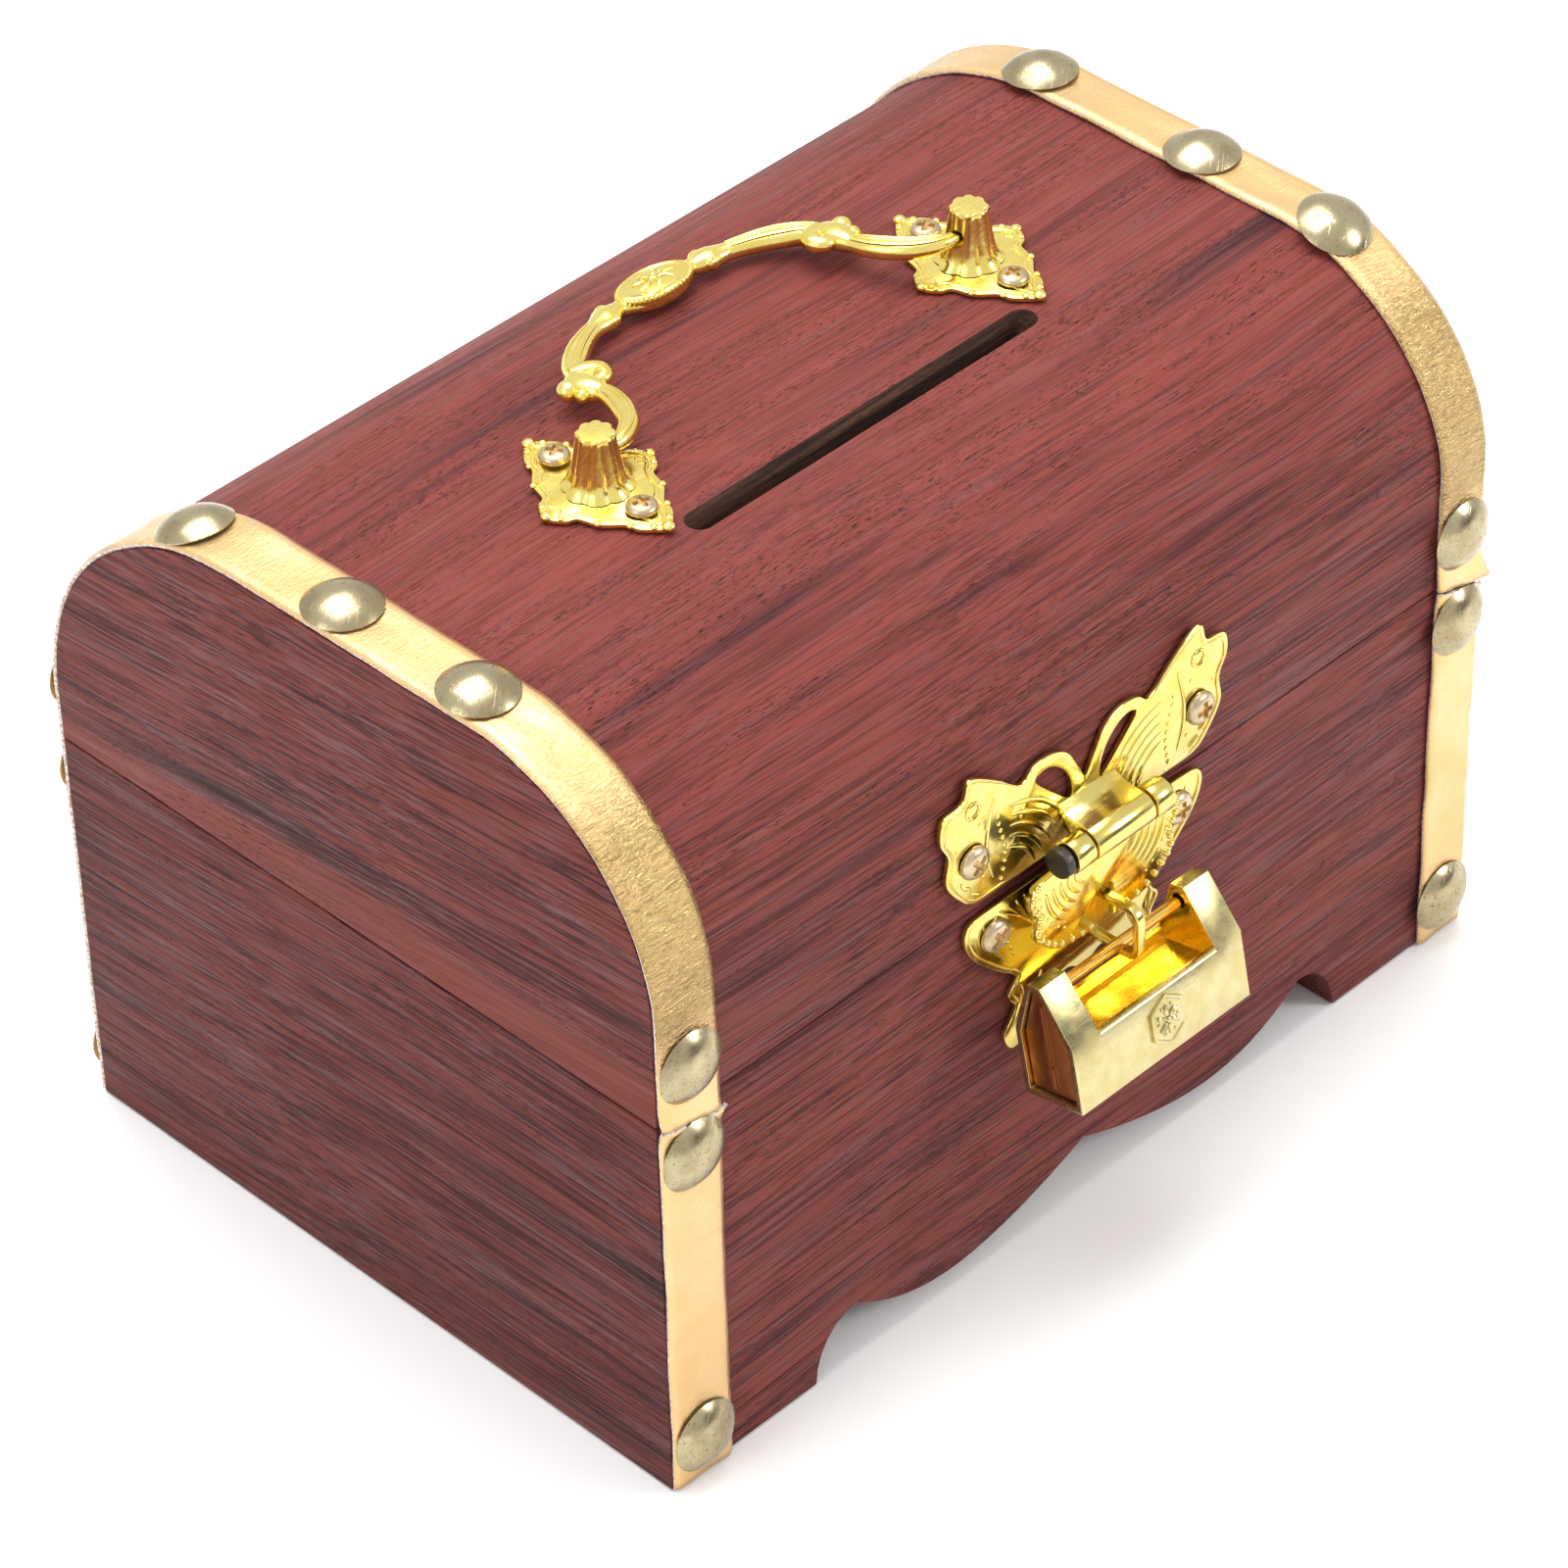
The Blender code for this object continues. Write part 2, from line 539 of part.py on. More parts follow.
def make_padlock(shop):
    body = shop.add("padlock_body", prism(lock_section(0), "X", -LOCK_HALF, LOCK_HALF),
                    "bright_brass", "padlock", local=True)
    wall = LOCK_WALL
    front, back = -LOCK_FRONT + wall, LOCK_BACK - wall
    outside = -LOCK_HALF - wall
    above = LOCK_RIDGE + wall
    cuts = {
        "roof_gap": block((-LOCK_NOTCH, front - 2 * wall, LOCK_EAVES), (LOCK_NOTCH, back + 2 * wall, above)),
        "roof_floor": block((-LOCK_NOTCH, front, LOCK_EAVES - ROOF_FLOOR), (LOCK_NOTCH, back, above)),
        "end_recess": prism(lock_section(wall), "X", outside, -LOCK_HALF + END_RECESS),
        "spring_room": block((outside, front, LOCK_FOOT + wall), (LOCK_HALF - wall, back, SPRING_ROOM)),
        "bar_bore": rod((0, 0), BAR_RADIUS + GAP, outside, LOCK_HALF - wall),
    }
    for name, bm in cuts.items():
        combine(body, shop.tool(name, bm, "padlock", local=True), "DIFFERENCE")

    start = -LOCK_HALF + END_INSET
    plate = prism(lock_section(wall + GAP), "X", start, start + END_PLATE)
    bar = shop.add("padlock_bar", plate, "bright_brass", "padlock", local=True)
    half = [(14.0, -0.5), (4.0, 2.5), (3.6, 1.9), (10.0, 0.3), (-15.6, 0.3)]
    leaves = half + [(x, -1 - y) for x, y in half[:0:-1]]
    leaves = [(start + 0.015 + x / 1000, y / 1000) for x, y in leaves]
    ridge_low, ridge_high = LOCK_FOOT + 0.003, LOCK_RIDGE - 0.003
    ridge = [(-0.0009, ridge_low), (0.0001, ridge_low), (0.0003, ridge_high), (-0.0007, ridge_high)]
    joined = {
        "bar_shaft": rod((0, 0), BAR_RADIUS, start + END_PLATE / 3, LOCK_HALF - 2 * wall),
        "spring_leaves": prism(leaves, "Z", SPRING_LOW, SPRING_HIGH),
        "end_ridge": prism(ridge, "X", start - END_RIDGE, start + END_RIDGE),
    }
    for name, bm in joined.items():
        combine(bar, shop.tool(name, bm, "padlock", local=True), "UNION")


# ---------------------------------------------------------------- handle
def make_brackets(shop):
    quarter = [(9.3, 0), (8.0, 2.4), (6.6, 3.2), (5.6, 6.0), (3.4, 8.4), (2.8, 10.4), (0, 13.3)]
    half = [(x, -y) for x, y in reversed(quarter)] + quarter[1:]
    half = [(x / 1000, y / 1000) for x, y in half]
    outline = both_halves(smooth(half, 3, closed=False))
    foot = HEIGHT + GAP
    for sign, side in ((-1, "left"), (1, "right")):
        x = sign * BRACKET_X
        place = [(x + a, HANDLE_Y + b) for a, b in outline]
        shop.add(f"handle_plate_{side}", prism(place, "Z", foot, foot + PLATE), "bright_brass", "lid")
        low = foot + PLATE + GAP
        points = 4 * POST_LOBES
        turns = [2 * math.pi * i / points for i in range(points)]
        flute = [(1 + 0.09 * math.cos(POST_LOBES * a), a) for a in turns]
        ring = [(x + POST_FOOT * r * math.cos(a), HANDLE_Y + POST_FOOT * r * math.sin(a)) for r, a in flute]
        post = prism(ring, "Z", low, HEIGHT + POST_RISE)
        taper = POST_HEAD / POST_FOOT
        for v in post.verts:
            if v.co.z > low + GAP:
                v.co.x = x + (v.co.x - x) * taper
                v.co.y = HANDLE_Y + (v.co.y - HANDLE_Y) * taper
        piece = shop.add(f"handle_post_{side}", post, "bright_brass", "lid")
        start, end = sorted((sign * (PIN_END + GAP), sign * (BRACKET_X - 2 * POST_FOOT)))
        bore = rod((HANDLE_Y, HANDLE_Z), PIN_RADIUS + GAP, start, end, 12)
        combine(piece, shop.tool(f"post_bore_{side}", bore, "lid"), "DIFFERENCE")
        for name, face in (("front", -1), ("back", 1)):
            screw = (x, HANDLE_Y + face * BRACKET_SCREW, foot + PLATE + GAP)
            add_screw(shop, f"handle_screw_{side}_{name}", HANDLE_SCREW, screw, 0, "lid")


def handle_stations():
    """(x, reach, half width, half height) along the right half of the bail, from pin to middle."""
    return [(32.4, 0.0, 0.9, 0.9), (29.6, 0.0, 0.9, 0.9), (28.0, 0.7, 1.1, 1.1), (25.4, 2.6, 1.4, 1.3),
            (23.4, 5.8, 1.6, 1.4), (22.4, 9.4, 1.5, 1.4), (22.6, 12.6, 2.2, 1.7), (22.6, 14.6, 2.6, 1.7),
            (21.0, 17.0, 1.7, 1.5), (18.4, 19.8, 1.5, 1.4), (14.6, 22.2, 1.7, 1.4), (11.0, 23.6, 1.5, 1.3),
            (8.2, 24.2, 2.0, 1.5), (6.4, 24.3, 1.4, 1.2), (4.0, 24.3, 2.8, 1.3), (0.0, 24.3, 3.4, 1.4)]


def make_handle(shop):
    """Rings of eight points along the bail, bridged, built flat round the pins' axis."""
    half = [tuple(v / 1000 for v in s) for s in handle_stations()]
    stations = half + [(-x, r, w, h) for x, r, w, h in half[-2::-1]]
    bm = bmesh.new()
    rings = []
    for i, (x, reach, wide, high) in enumerate(stations):
        before, after = stations[max(i - 1, 0)], stations[min(i + 1, len(stations) - 1)]
        along = Vector((after[0] - before[0], after[1] - before[1], 0)).normalized()
        across = Vector((-along.y, along.x, 0))
        ring = bmesh.ops.create_circle(bm, cap_ends=False, segments=8, radius=1)["verts"]
        for v in ring:
            v.co = Vector((x, reach, 0)) + across * v.co.x * wide + Vector((0, 0, v.co.y * high))
        rings.append({e for v in ring for e in v.link_edges})
    for a, b in zip(rings, rings[1:]):
        bmesh.ops.bridge_loops(bm, edges=list(a | b))
    for ring in (rings[0], rings[-1]):
        bmesh.ops.contextual_create(bm, geom=list(ring))
    bmesh.ops.recalc_face_normals(bm, faces=bm.faces)
    shop.add("handle_bail", bm, "bright_brass", "handle", local=True)


def main():
    clear_scene()
    shop = Workshop()
    make_box(shop)
    make_lid(shop)
    make_straps(shop)
    make_tacks(shop)
    make_hinges(shop)
    make_latch(shop)
    make_padlock(shop)
    make_brackets(shop)
    make_handle(shop)


main()
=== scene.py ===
# %% [markdown]
# # A wooden money box shaped like a small treasure chest
#
# The box is stained wood with a rounded lid. Two gold leather straps, held by brass dome tacks, wrap its
# ends. On top are a coin slot and a folding brass handle, and a butterfly latch with a small bar padlock
# closes the front. The lesson builds every visible piece in its finished place, with its own material.
#
# The solid model of the box is loaded first. It says where everything is, so each piece is made to fit it.

# %% Load the solid model
import math

import bmesh
import bpy
from mathutils import Matrix, Vector, noise


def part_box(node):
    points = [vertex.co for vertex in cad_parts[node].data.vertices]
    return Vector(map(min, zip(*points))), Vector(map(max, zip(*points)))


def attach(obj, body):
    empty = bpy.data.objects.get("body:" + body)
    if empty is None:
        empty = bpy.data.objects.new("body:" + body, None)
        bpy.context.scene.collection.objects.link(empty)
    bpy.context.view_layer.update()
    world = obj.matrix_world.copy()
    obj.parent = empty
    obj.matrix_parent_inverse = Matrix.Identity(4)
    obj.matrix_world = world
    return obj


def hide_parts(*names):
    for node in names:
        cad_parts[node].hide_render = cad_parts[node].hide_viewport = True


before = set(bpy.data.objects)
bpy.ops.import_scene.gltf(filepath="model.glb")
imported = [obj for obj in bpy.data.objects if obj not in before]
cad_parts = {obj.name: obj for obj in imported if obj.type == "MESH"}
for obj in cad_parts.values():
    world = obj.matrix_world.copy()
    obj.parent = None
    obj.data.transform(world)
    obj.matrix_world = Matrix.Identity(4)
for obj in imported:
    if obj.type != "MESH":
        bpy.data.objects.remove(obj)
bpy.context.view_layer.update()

# %% [markdown]
# ## Where things are
#
# Lengths are in metres, with +X along the box, -Y to the front and +Z up. A few planes of the box are used
# again and again: its front, back, ends and top, and the height at which lid and box meet. They are read
# from the solid model, so that nothing has to be typed twice.

# %% Read the main planes
MM = 0.001
front_low, front_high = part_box("box_front_board")
back_low, back_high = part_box("box_back_board")
left_low, left_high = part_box("box_left_board")
right_low, right_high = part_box("box_right_board")
lid_low, lid_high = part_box("lid_top_shell")
FRONT, BACK = front_low[1], back_high[1]
LEFT, RIGHT = left_low[0], right_high[0]
TOP = lid_high[2]
PARTING = (front_high[2] + lid_low[2]) / 2
MIDDLE = (FRONT + BACK) / 2
BOARD = front_high[1] - front_low[1]
AIR = 0.0003
print(f"box {RIGHT - LEFT:.3f} x {BACK - FRONT:.3f} x {TOP:.3f} m, lid from {PARTING:.3f} m up")

# %% [markdown]
# ## Camera, light and floor
#
# A long lens from the front left corner, well above the box, keeps its sides nearly parallel. The light is
# that of a white tent: a bright surround with a dimmer opening at the front right, one large soft panel
# above and two smaller ones. Brass shows what it reflects, so the opening gives it its darker tones. The
# floor is plain and pale, and isn't part of the object.

# %% Aim the camera
view = bpy.data.cameras.new("camera")
view.lens = 147.13
camera = bpy.data.objects.new("camera", view)
camera.location = (-0.46461, -0.46798, 0.58605)
camera.rotation_euler = [math.radians(angle) for angle in (50.4893, 1.2110, -45.4283)]
bpy.context.collection.objects.link(camera)
bpy.context.scene.camera = camera

# %% Light the tent
LIT_POINT = Vector((0.0, 0.0, 0.05))


def light_panel(name, place, size, power):
    """A square soft light that faces the box."""
    lamp = bpy.data.lights.new(name, "AREA")
    lamp.size = size
    lamp.energy = power
    panel = bpy.data.objects.new(name, lamp)
    panel.location = place
    panel.rotation_euler = (LIT_POINT - Vector(place)).to_track_quat("-Z", "Y").to_euler()
    bpy.context.collection.objects.link(panel)


light_panel("panel_above", (0.05, 0.25, 1.1), 0.9, 12.0)
light_panel("panel_left", (-1.1, 0.1, 0.8), 0.7, 3.5)
light_panel("panel_front", (0.62, -0.82, 0.60), 0.30, 5.0)

surround = bpy.data.worlds.new("surround")
surround.use_nodes = True
sky = surround.node_tree
direction = sky.nodes.new("ShaderNodeTexCoord").outputs["Generated"]
opening = sky.nodes.new("ShaderNodeVectorMath")
opening.operation = "DOT_PRODUCT"
opening.inputs[1].default_value = Vector((0.53, -0.85, 0.0)).normalized()
sky.links.new(direction, opening.inputs[0])
fade = sky.nodes.new("ShaderNodeMapRange")
for socket, value in (("From Min", 0.87), ("From Max", 0.955), ("To Min", 0.93), ("To Max", 0.15)):
    fade.inputs[socket].default_value = value
sky.links.new(opening.outputs["Value"], fade.inputs["Value"])
sky.links.new(fade.outputs[0], sky.nodes["Background"].inputs["Strength"])
sky.nodes["Background"].inputs["Color"].default_value = (1.0, 1.0, 1.0, 1.0)
bpy.context.scene.world = surround
bpy.context.scene.view_settings.view_transform = "Standard"

# %% Lay the floor
bm = bmesh.new()
bmesh.ops.create_grid(bm, x_segments=1, y_segments=1, size=3.0)
bmesh.ops.translate(bm, vec=(0, 0, -AIR), verts=bm.verts)
floor_mesh = bpy.data.meshes.new("floor")
bm.to_mesh(floor_mesh)
bm.free()
floor = bpy.data.objects.new("floor", floor_mesh)
floor_paint = bpy.data.materials.new("floor_paint")
floor_paint.use_nodes = True
paint = floor_paint.node_tree.nodes["Principled BSDF"].inputs
paint["Base Color"].default_value = (0.93, 0.93, 0.93, 1)
paint["Roughness"].default_value = 0.9
floor_mesh.materials.append(floor_paint)
bpy.context.collection.objects.link(floor)

# %% [markdown]
# ## A workbench for finishes
#
# Every finish on this box is a pattern in depth: colour, roughness and relief change together. A small
# helper keeps the node trees short. It adds a node, fills its sockets, and links a socket when it is given
# another node's output. Patterns read Object coordinates, which on these pieces are metres of the real box,
# and the Mapping node in its Texture mode takes the size of a feature directly, for example 20 mm by 0.5 mm.

# %% Build finishes from nodes
class Finish:
    """A material in the making."""

    def __init__(self, name, metallic=0.0, roughness=0.5, colour=(0.8, 0.8, 0.8)):
        self.material = bpy.data.materials.new(name)
        self.material.use_nodes = True
        self.tree = self.material.node_tree
        self.shader = self.tree.nodes["Principled BSDF"]
        self.shader.inputs["Metallic"].default_value = metallic
        self.shader.inputs["Roughness"].default_value = roughness
        self.shader.inputs["Base Color"].default_value = (*colour, 1)
        self.material.diffuse_color = (*colour, 1)
        self.place = self.add("ShaderNodeTexCoord").outputs["Object"]

    def add(self, kind, inputs=None, **settings):
        node = self.tree.nodes.new(kind)
        for key, value in settings.items():
            setattr(node, key, value)
        for socket, value in (inputs or {}).items():
            if isinstance(value, bpy.types.NodeSocket):
                self.tree.links.new(value, node.inputs[socket])
            else:
                node.inputs[socket].default_value = value
        return node

    def noise(self, size, detail=2.0, rough=0.55, shift=0.0, turn=(0, 0, 0), place=None, distortion=0.0):
        """Noise whose features have this size in metres, one for all axes or one each for X, Y and Z."""
        size = size if isinstance(size, (list, tuple)) else (size, size, size)
        spot = self.add("ShaderNodeMapping", {"Vector": place or self.place, "Location": (shift, shift, shift),
                                              "Rotation": turn, "Scale": size}, vector_type="TEXTURE")
        return self.add("ShaderNodeTexNoise", {"Vector": spot.outputs[0], "Scale": 1.0, "Detail": detail,
                                               "Roughness": rough, "Distortion": distortion}).outputs[0]

    def grain(self, along, length, width, detail=2.0, rough=0.55, shift=0.0, tilt=0.0, place=None):
        """Noise drawn out along the axis with this letter."""
        size = [width, width, width]
        size["XYZ".index(along)] = length
        return self.noise(size, detail, rough, shift, (tilt, 0, 0), place)

    def mask(self, value, low, high, out_low=0.0, out_high=1.0):
        """The value stretched so that low becomes out_low and high becomes out_high."""
        return self.add("ShaderNodeMapRange", {"Value": value, "From Min": low, "From Max": high,
                                               "To Min": out_low, "To Max": out_high}).outputs[0]

    def ramp(self, value, stops):
        """Colours at positions along the value."""
        node = self.add("ShaderNodeValToRGB", {"Fac": value})
        marks = node.color_ramp.elements
        while len(marks) < len(stops):
            marks.new(0.5)
        for mark, (position, colour) in zip(marks, stops):
            mark.position = position
            mark.color = (*colour, 1)
        return node.outputs["Color"]

    def mix(self, factor, first, second):
        """Two colours mixed by the factor."""
        node = self.add("ShaderNodeMix", data_type="RGBA")
        for socket, value in ((0, factor), (6, first), (7, second)):
            if isinstance(value, bpy.types.NodeSocket):
                self.tree.links.new(value, node.inputs[socket])
            else:
                node.inputs[socket].default_value = (*value, 1) if socket else value
        return node.outputs[2]

    def sum(self, first, second, share=1.0):
        """first + share * second."""
        return self.add("ShaderNodeMath", {0: second, 1: share, 2: first}, operation="MULTIPLY_ADD").outputs[0]

    def times(self, first, second):
        return self.add("ShaderNodeMath", {0: first, 1: second}, operation="MULTIPLY").outputs[0]

    def connect(self, colour, roughness, relief, depth):
        """Links the pattern to the shader. The relief is depth metres high."""
        bump = self.add("ShaderNodeBump", {"Height": relief, "Distance": depth, "Strength": 1.0}).outputs[0]
        for socket, output in (("Base Color", colour), ("Roughness", roughness), ("Normal", bump)):
            self.tree.links.new(output, self.shader.inputs[socket])
        return self.material


# %% [markdown]
# ## Stained wood
#
# The wood is an open-grained timber, brushed so that its soft rings are worn away, then stained red-brown.
# That gives long ridges along the grain, dark furrows between them and short black pores. Greyish streaks,
# where light would catch raised fibres, are painted into the colour as a painted sheen. Each is a noise
# stretched along the grain. The boards of the ends have their grain along Y and all others along X, so the
# finish is made once for each direction.

# %% Mix the wood stain
STAIN_RED = (0.175, 0.034, 0.027)
STAIN_DARK = (0.048, 0.010, 0.011)
STAIN_WARM = (0.215, 0.042, 0.030)
PAINTED_SHEEN_GREY = (0.155, 0.062, 0.064)
PORE = (0.018, 0.006, 0.006)


def stained_wood(name, along, tilt=0.0, brushed=1.0, shift=0.0, depth=1.0, sheen_lift=1.0, calm=(0.078, 0.106, 0.5)):
    """A stain on brushed wood.

    along is the grain's direction, brushed how far the soft rings are worn away, depth the stain's strength
    and lift how pale the painted sheen on the raised fibres is. calm is where the wood gets smoother: it
    starts at the first height, is complete at the second, and takes away the third value's share of the
    pattern.
    """
    red, dark, warm = (tuple(c * depth for c in tone) for tone in (STAIN_RED, STAIN_DARK, STAIN_WARM))
    painted_sheen = tuple(c * depth * sheen_lift for c in PAINTED_SHEEN_GREY)
    finish = Finish(name, roughness=0.6, colour=STAIN_RED)
    height = finish.add("ShaderNodeSeparateXYZ", {0: finish.place}).outputs[2]
    rough = finish.mask(height, calm[0], calm[1], 1.0, 1.0 - calm[2])

    def spread(value, low, high, most):
        """The pattern's share where it lies between low and high, weaker where the wood is calm."""
        return finish.times(finish.mask(value, low, high, 0.0, most), rough)

    drift = finish.add("ShaderNodeTexNoise", {"Vector": finish.place, "Scale": 11.0, "Detail": 1.0}).outputs[1]
    drift = finish.add("ShaderNodeVectorMath", {0: drift, 1: (0.5, 0.5, 0.5)}, operation="SUBTRACT").outputs[0]
    bent = finish.add("ShaderNodeVectorMath", {0: drift, 1: (0.007, 0.007, 0.007), 2: finish.place},
                      operation="MULTIPLY_ADD").outputs[0]

    def grain(length, width, detail=2.0, offset=0.0, rough=0.55):
        return finish.grain(along, length, width, detail, rough, shift + offset, tilt, bent)

    rings = grain(0.110, 0.0050, 3.0)
    furrows = grain(0.045, 0.0009, 4.0, 0.31, 0.66)
    sheen = grain(0.026, 0.0011, 4.0, 0.77, 0.62)
    fibres = grain(0.020, 0.00030, 2.0, 0.13)
    dashes = grain(0.0016, 0.00015, 1.0, 0.59)
    crowd = grain(0.040, 0.0050, 2.0, 0.91)

    colour = finish.ramp(rings, [(0.28, dark), (0.42, red), (0.58, warm), (0.74, red)])
    colour = finish.mix(spread(furrows, 0.51, 0.38, min(0.80 * brushed, 0.95)), colour, dark)
    # Painted sheen: sheen streaks and raised fibres are paled towards grey, a painted highlight where light
    # would catch them; between the fibres the colour is darker.
    colour = finish.mix(spread(sheen, 0.55, 0.68, 0.60 * brushed), colour, painted_sheen)
    colour = finish.mix(spread(fibres, 0.53, 0.62, 0.50 * brushed), colour, painted_sheen)
    colour = finish.mix(spread(fibres, 0.48, 0.38, 0.80), colour, dark)
    pores = finish.times(finish.mask(dashes, 0.63, 0.69), finish.mask(crowd, 0.45, 0.60))
    colour = finish.mix(pores, colour, PORE)

    relief = finish.sum(spread(furrows, 0.3, 0.7, 1.0), spread(fibres, 0.3, 0.7, 1.0), 0.45)
    relief = finish.sum(relief, pores, -0.6)
    roughness = finish.mask(sheen, 0.45, 0.70, 0.66, 0.46)
    finish.shader.inputs["Specular IOR Level"].default_value = 0.18
    return finish.connect(colour, roughness, relief, 0.00022 * brushed)


wood_along_x = stained_wood("stained_wood_long", "X")
wood_lid_end = stained_wood("stained_wood_lid_end", "Y", math.radians(-4), brushed=1.4, shift=0.4,
                            depth=0.84, sheen_lift=1.3, calm=(0.071, 0.067, 0.8))
wood_box_end = stained_wood("stained_wood_box_end", "Y", math.radians(-2), brushed=1.4, shift=0.2,
                            depth=0.74, sheen_lift=1.3, calm=(0.010, -0.010, 0.4))

# %% [markdown]
# ## Bare wood
#
# Inside the box, and on the walls of the coin slot, the wood has no stain. It is a dull brown with a faint
# grain and fuzz from the cutter, so it is rough and has almost no gloss. On the slot's walls it is made much
# darker, as painted shade in the deep narrow slot.

# %% Finish the bare wood
def bare_wood(name, light, dark, along="X"):
    finish = Finish(name, roughness=0.85, colour=light)
    grain = finish.grain(along, 0.030, 0.0012, 4.0)
    fuzz = finish.grain(along, 0.0022, 0.0004, 2.0, shift=0.3)
    colour = finish.mix(finish.mask(grain, 0.35, 0.65), dark, light)
    colour = finish.mix(finish.mask(fuzz, 0.50, 0.70, 0.0, 0.7), colour, dark)
    relief = finish.sum(grain, fuzz, 0.6)
    return finish.connect(colour, finish.mask(fuzz, 0.3, 0.7, 0.75, 0.95), relief, 0.0002)


inside_wood = bare_wood("inside_wood", (0.42, 0.27, 0.15), (0.25, 0.14, 0.07))
inside_end_wood = bare_wood("inside_end_wood", (0.40, 0.25, 0.14), (0.24, 0.135, 0.07), "Y")
# Painted shade: the slot's walls are the bare wood made much darker, for the shade in the deep slot.
slot_wood_painted_shade = bare_wood("slot_wood_painted_shade", (0.17, 0.078, 0.042), (0.028, 0.013, 0.009))

# %% [markdown]
# ## Helpers for shapes
#
# Small parts are made as on a bench: flat, in millimetres, facing up. Then they are moved into place with
# one matrix. Four habits cover nearly everything here: turning a profile, cutting a sheet from an outline,
# drawing a raised line along a path, and easing sharp edges with a bevel.

# %% Turn, cut, draw and ease
move = Matrix.Translation
UPRIGHT = Matrix.Rotation(math.pi / 2, 4, "X")
ALONG_X = Matrix.Rotation(math.pi / 2, 4, "Y")


def verts_in(made):
    """The vertices among the things that an operator made."""
    return [g for g in made if isinstance(g, bmesh.types.BMVert)]


def at(height, *points):
    """Flat points, lifted to one height."""
    return [(x, y, height) for x, y in points]


def curve_through(points, steps=5, closed=False):
    """Points on a smooth curve through the given ones, which may have any number of values each."""
    count = len(points)
    out = []
    for i in range(count if closed else count - 1):
        a, b, c, d = (points[(i + k) % count] if closed else points[min(max(i + k, 0), count - 1)]
                      for k in (-1, 0, 1, 2))
        for s in range(steps):
            t = s / steps
            out.append([(2 * q + t * (r - p) + t * t * (2 * p - 5 * q + 4 * r - u)
                         + t ** 3 * (3 * q - p - 3 * r + u)) / 2 for p, q, r, u in zip(a, b, c, d)])
    return out if closed else out + [list(points[-1])]


def mirrored(half):
    """A closed outline from its right half, which runs from the middle round to the middle."""
    return [tuple(p) for p in half] + [(-x, y) for x, y in list(half)[::-1] if x > 1e-4]


def turned(profile, steps=32):
    """A profile of (radius, height) points, spun round Z."""
    bm = bmesh.new()
    verts = [bm.verts.new((radius, 0, height)) for radius, height in profile]
    edges = [bm.edges.new(pair) for pair in zip(verts, verts[1:])]
    bmesh.ops.spin(bm, geom=verts + edges, cent=(0, 0, 0), axis=(0, 0, 1), angle=math.tau, steps=steps,
                   use_merge=True)
    bmesh.ops.remove_doubles(bm, verts=bm.verts, dist=1e-5)
    bmesh.ops.recalc_face_normals(bm, faces=bm.faces)
    return bm


def sheet_metal(bm, outline, low, high):
    """A flat outline of (x, y) points, standing from low to high."""
    face = bm.faces.new([bm.verts.new((x, y, low)) for x, y in outline])
    made = bmesh.ops.extrude_face_region(bm, geom=[face])["geom"]
    lifted = verts_in(made)
    bmesh.ops.translate(bm, vec=(0, 0, high - low), verts=lifted)
    top = next(f for f in made if isinstance(f, bmesh.types.BMFace))
    body = {f for v in lifted for f in v.link_faces} | {face}
    bmesh.ops.recalc_face_normals(bm, faces=list(body))
    return top


def skin(bm, rings, closed=False):
    """Faces from each ring of vertices to the next. Open ends are capped."""
    loops = [{e for v in ring for e in v.link_edges} for ring in rings]
    made = []
    for a, b in list(zip(loops, loops[1:])) + ([(loops[-1], loops[0])] if closed else []):
        made += bmesh.ops.bridge_loops(bm, edges=list(a | b))["faces"]
    if not closed:
        made += [bm.faces.new(ring) for ring in (rings[0], rings[-1])]
    bmesh.ops.recalc_face_normals(bm, faces=made)


def raised_line(bm, points, width=1.0, height=1.0, sides=8, closed=False, taper=True):
    """A half-sunk round line along points (x, y, z), width and height in mm, thin at open ends.

    A point can have two more values, which are half the width and the height just there.
    """
    path = [Vector(p[:3]) for p in points]
    last = len(path) - 1
    rings = []
    for i, p in enumerate(path):
        before = path[i - 1] if i or closed else p
        after = path[(i + 1) % len(path)] if i < last or closed else p
        along = (after - before).normalized()
        across = along.cross(Vector((0, 0, 1)))
        across = across.normalized() if across.length > 1e-6 else Vector((1, 0, 0))
        up = across.cross(along)
        share = 1.0 if closed or not taper else max(math.sin(math.pi * (i + 0.6) / (last + 1.2)), 0.15) ** 0.5
        wide, tall = points[i][3:5] or (width * share / 2, height * share)
        ring = bmesh.ops.create_circle(bm, cap_ends=False, segments=sides, radius=1.0)["verts"]
        for v in ring:
            v.co = p + across * v.co.x * wide + up * v.co.y * tall
        rings.append(ring)
    skin(bm, rings, closed)


def bead(bm, place, radius, flat=1.0, detail=2):
    """A small ball, squashed to flat times its height."""
    matrix = move(place) @ Matrix.Diagonal((radius, radius, radius * flat, 1))
    bmesh.ops.create_icosphere(bm, subdivisions=detail, radius=1.0, matrix=matrix)


def ease(bm, width, segments=2, angle=35, faces=None):
    """Rounds the edges that are sharper than the angle."""
    edges = [e for e in bm.edges if len(e.link_faces) == 2 and e.calc_face_angle(0) > math.radians(angle)
             and (faces is None or any(f in faces for f in e.link_faces))]
    bmesh.ops.bevel(bm, geom=edges, offset=width, offset_type="OFFSET", affect="EDGES", segments=segments,
                    profile=0.5, material=-1, clamp_overlap=True)
    return bm


# %% [markdown]
# ## Putting pieces into the scene
#
# A finished bmesh becomes an object with its materials. It rides on a body of the solid model, so that it
# moves with the lid, the handle or the padlock, and it stands in for the plain solid that it replaces.

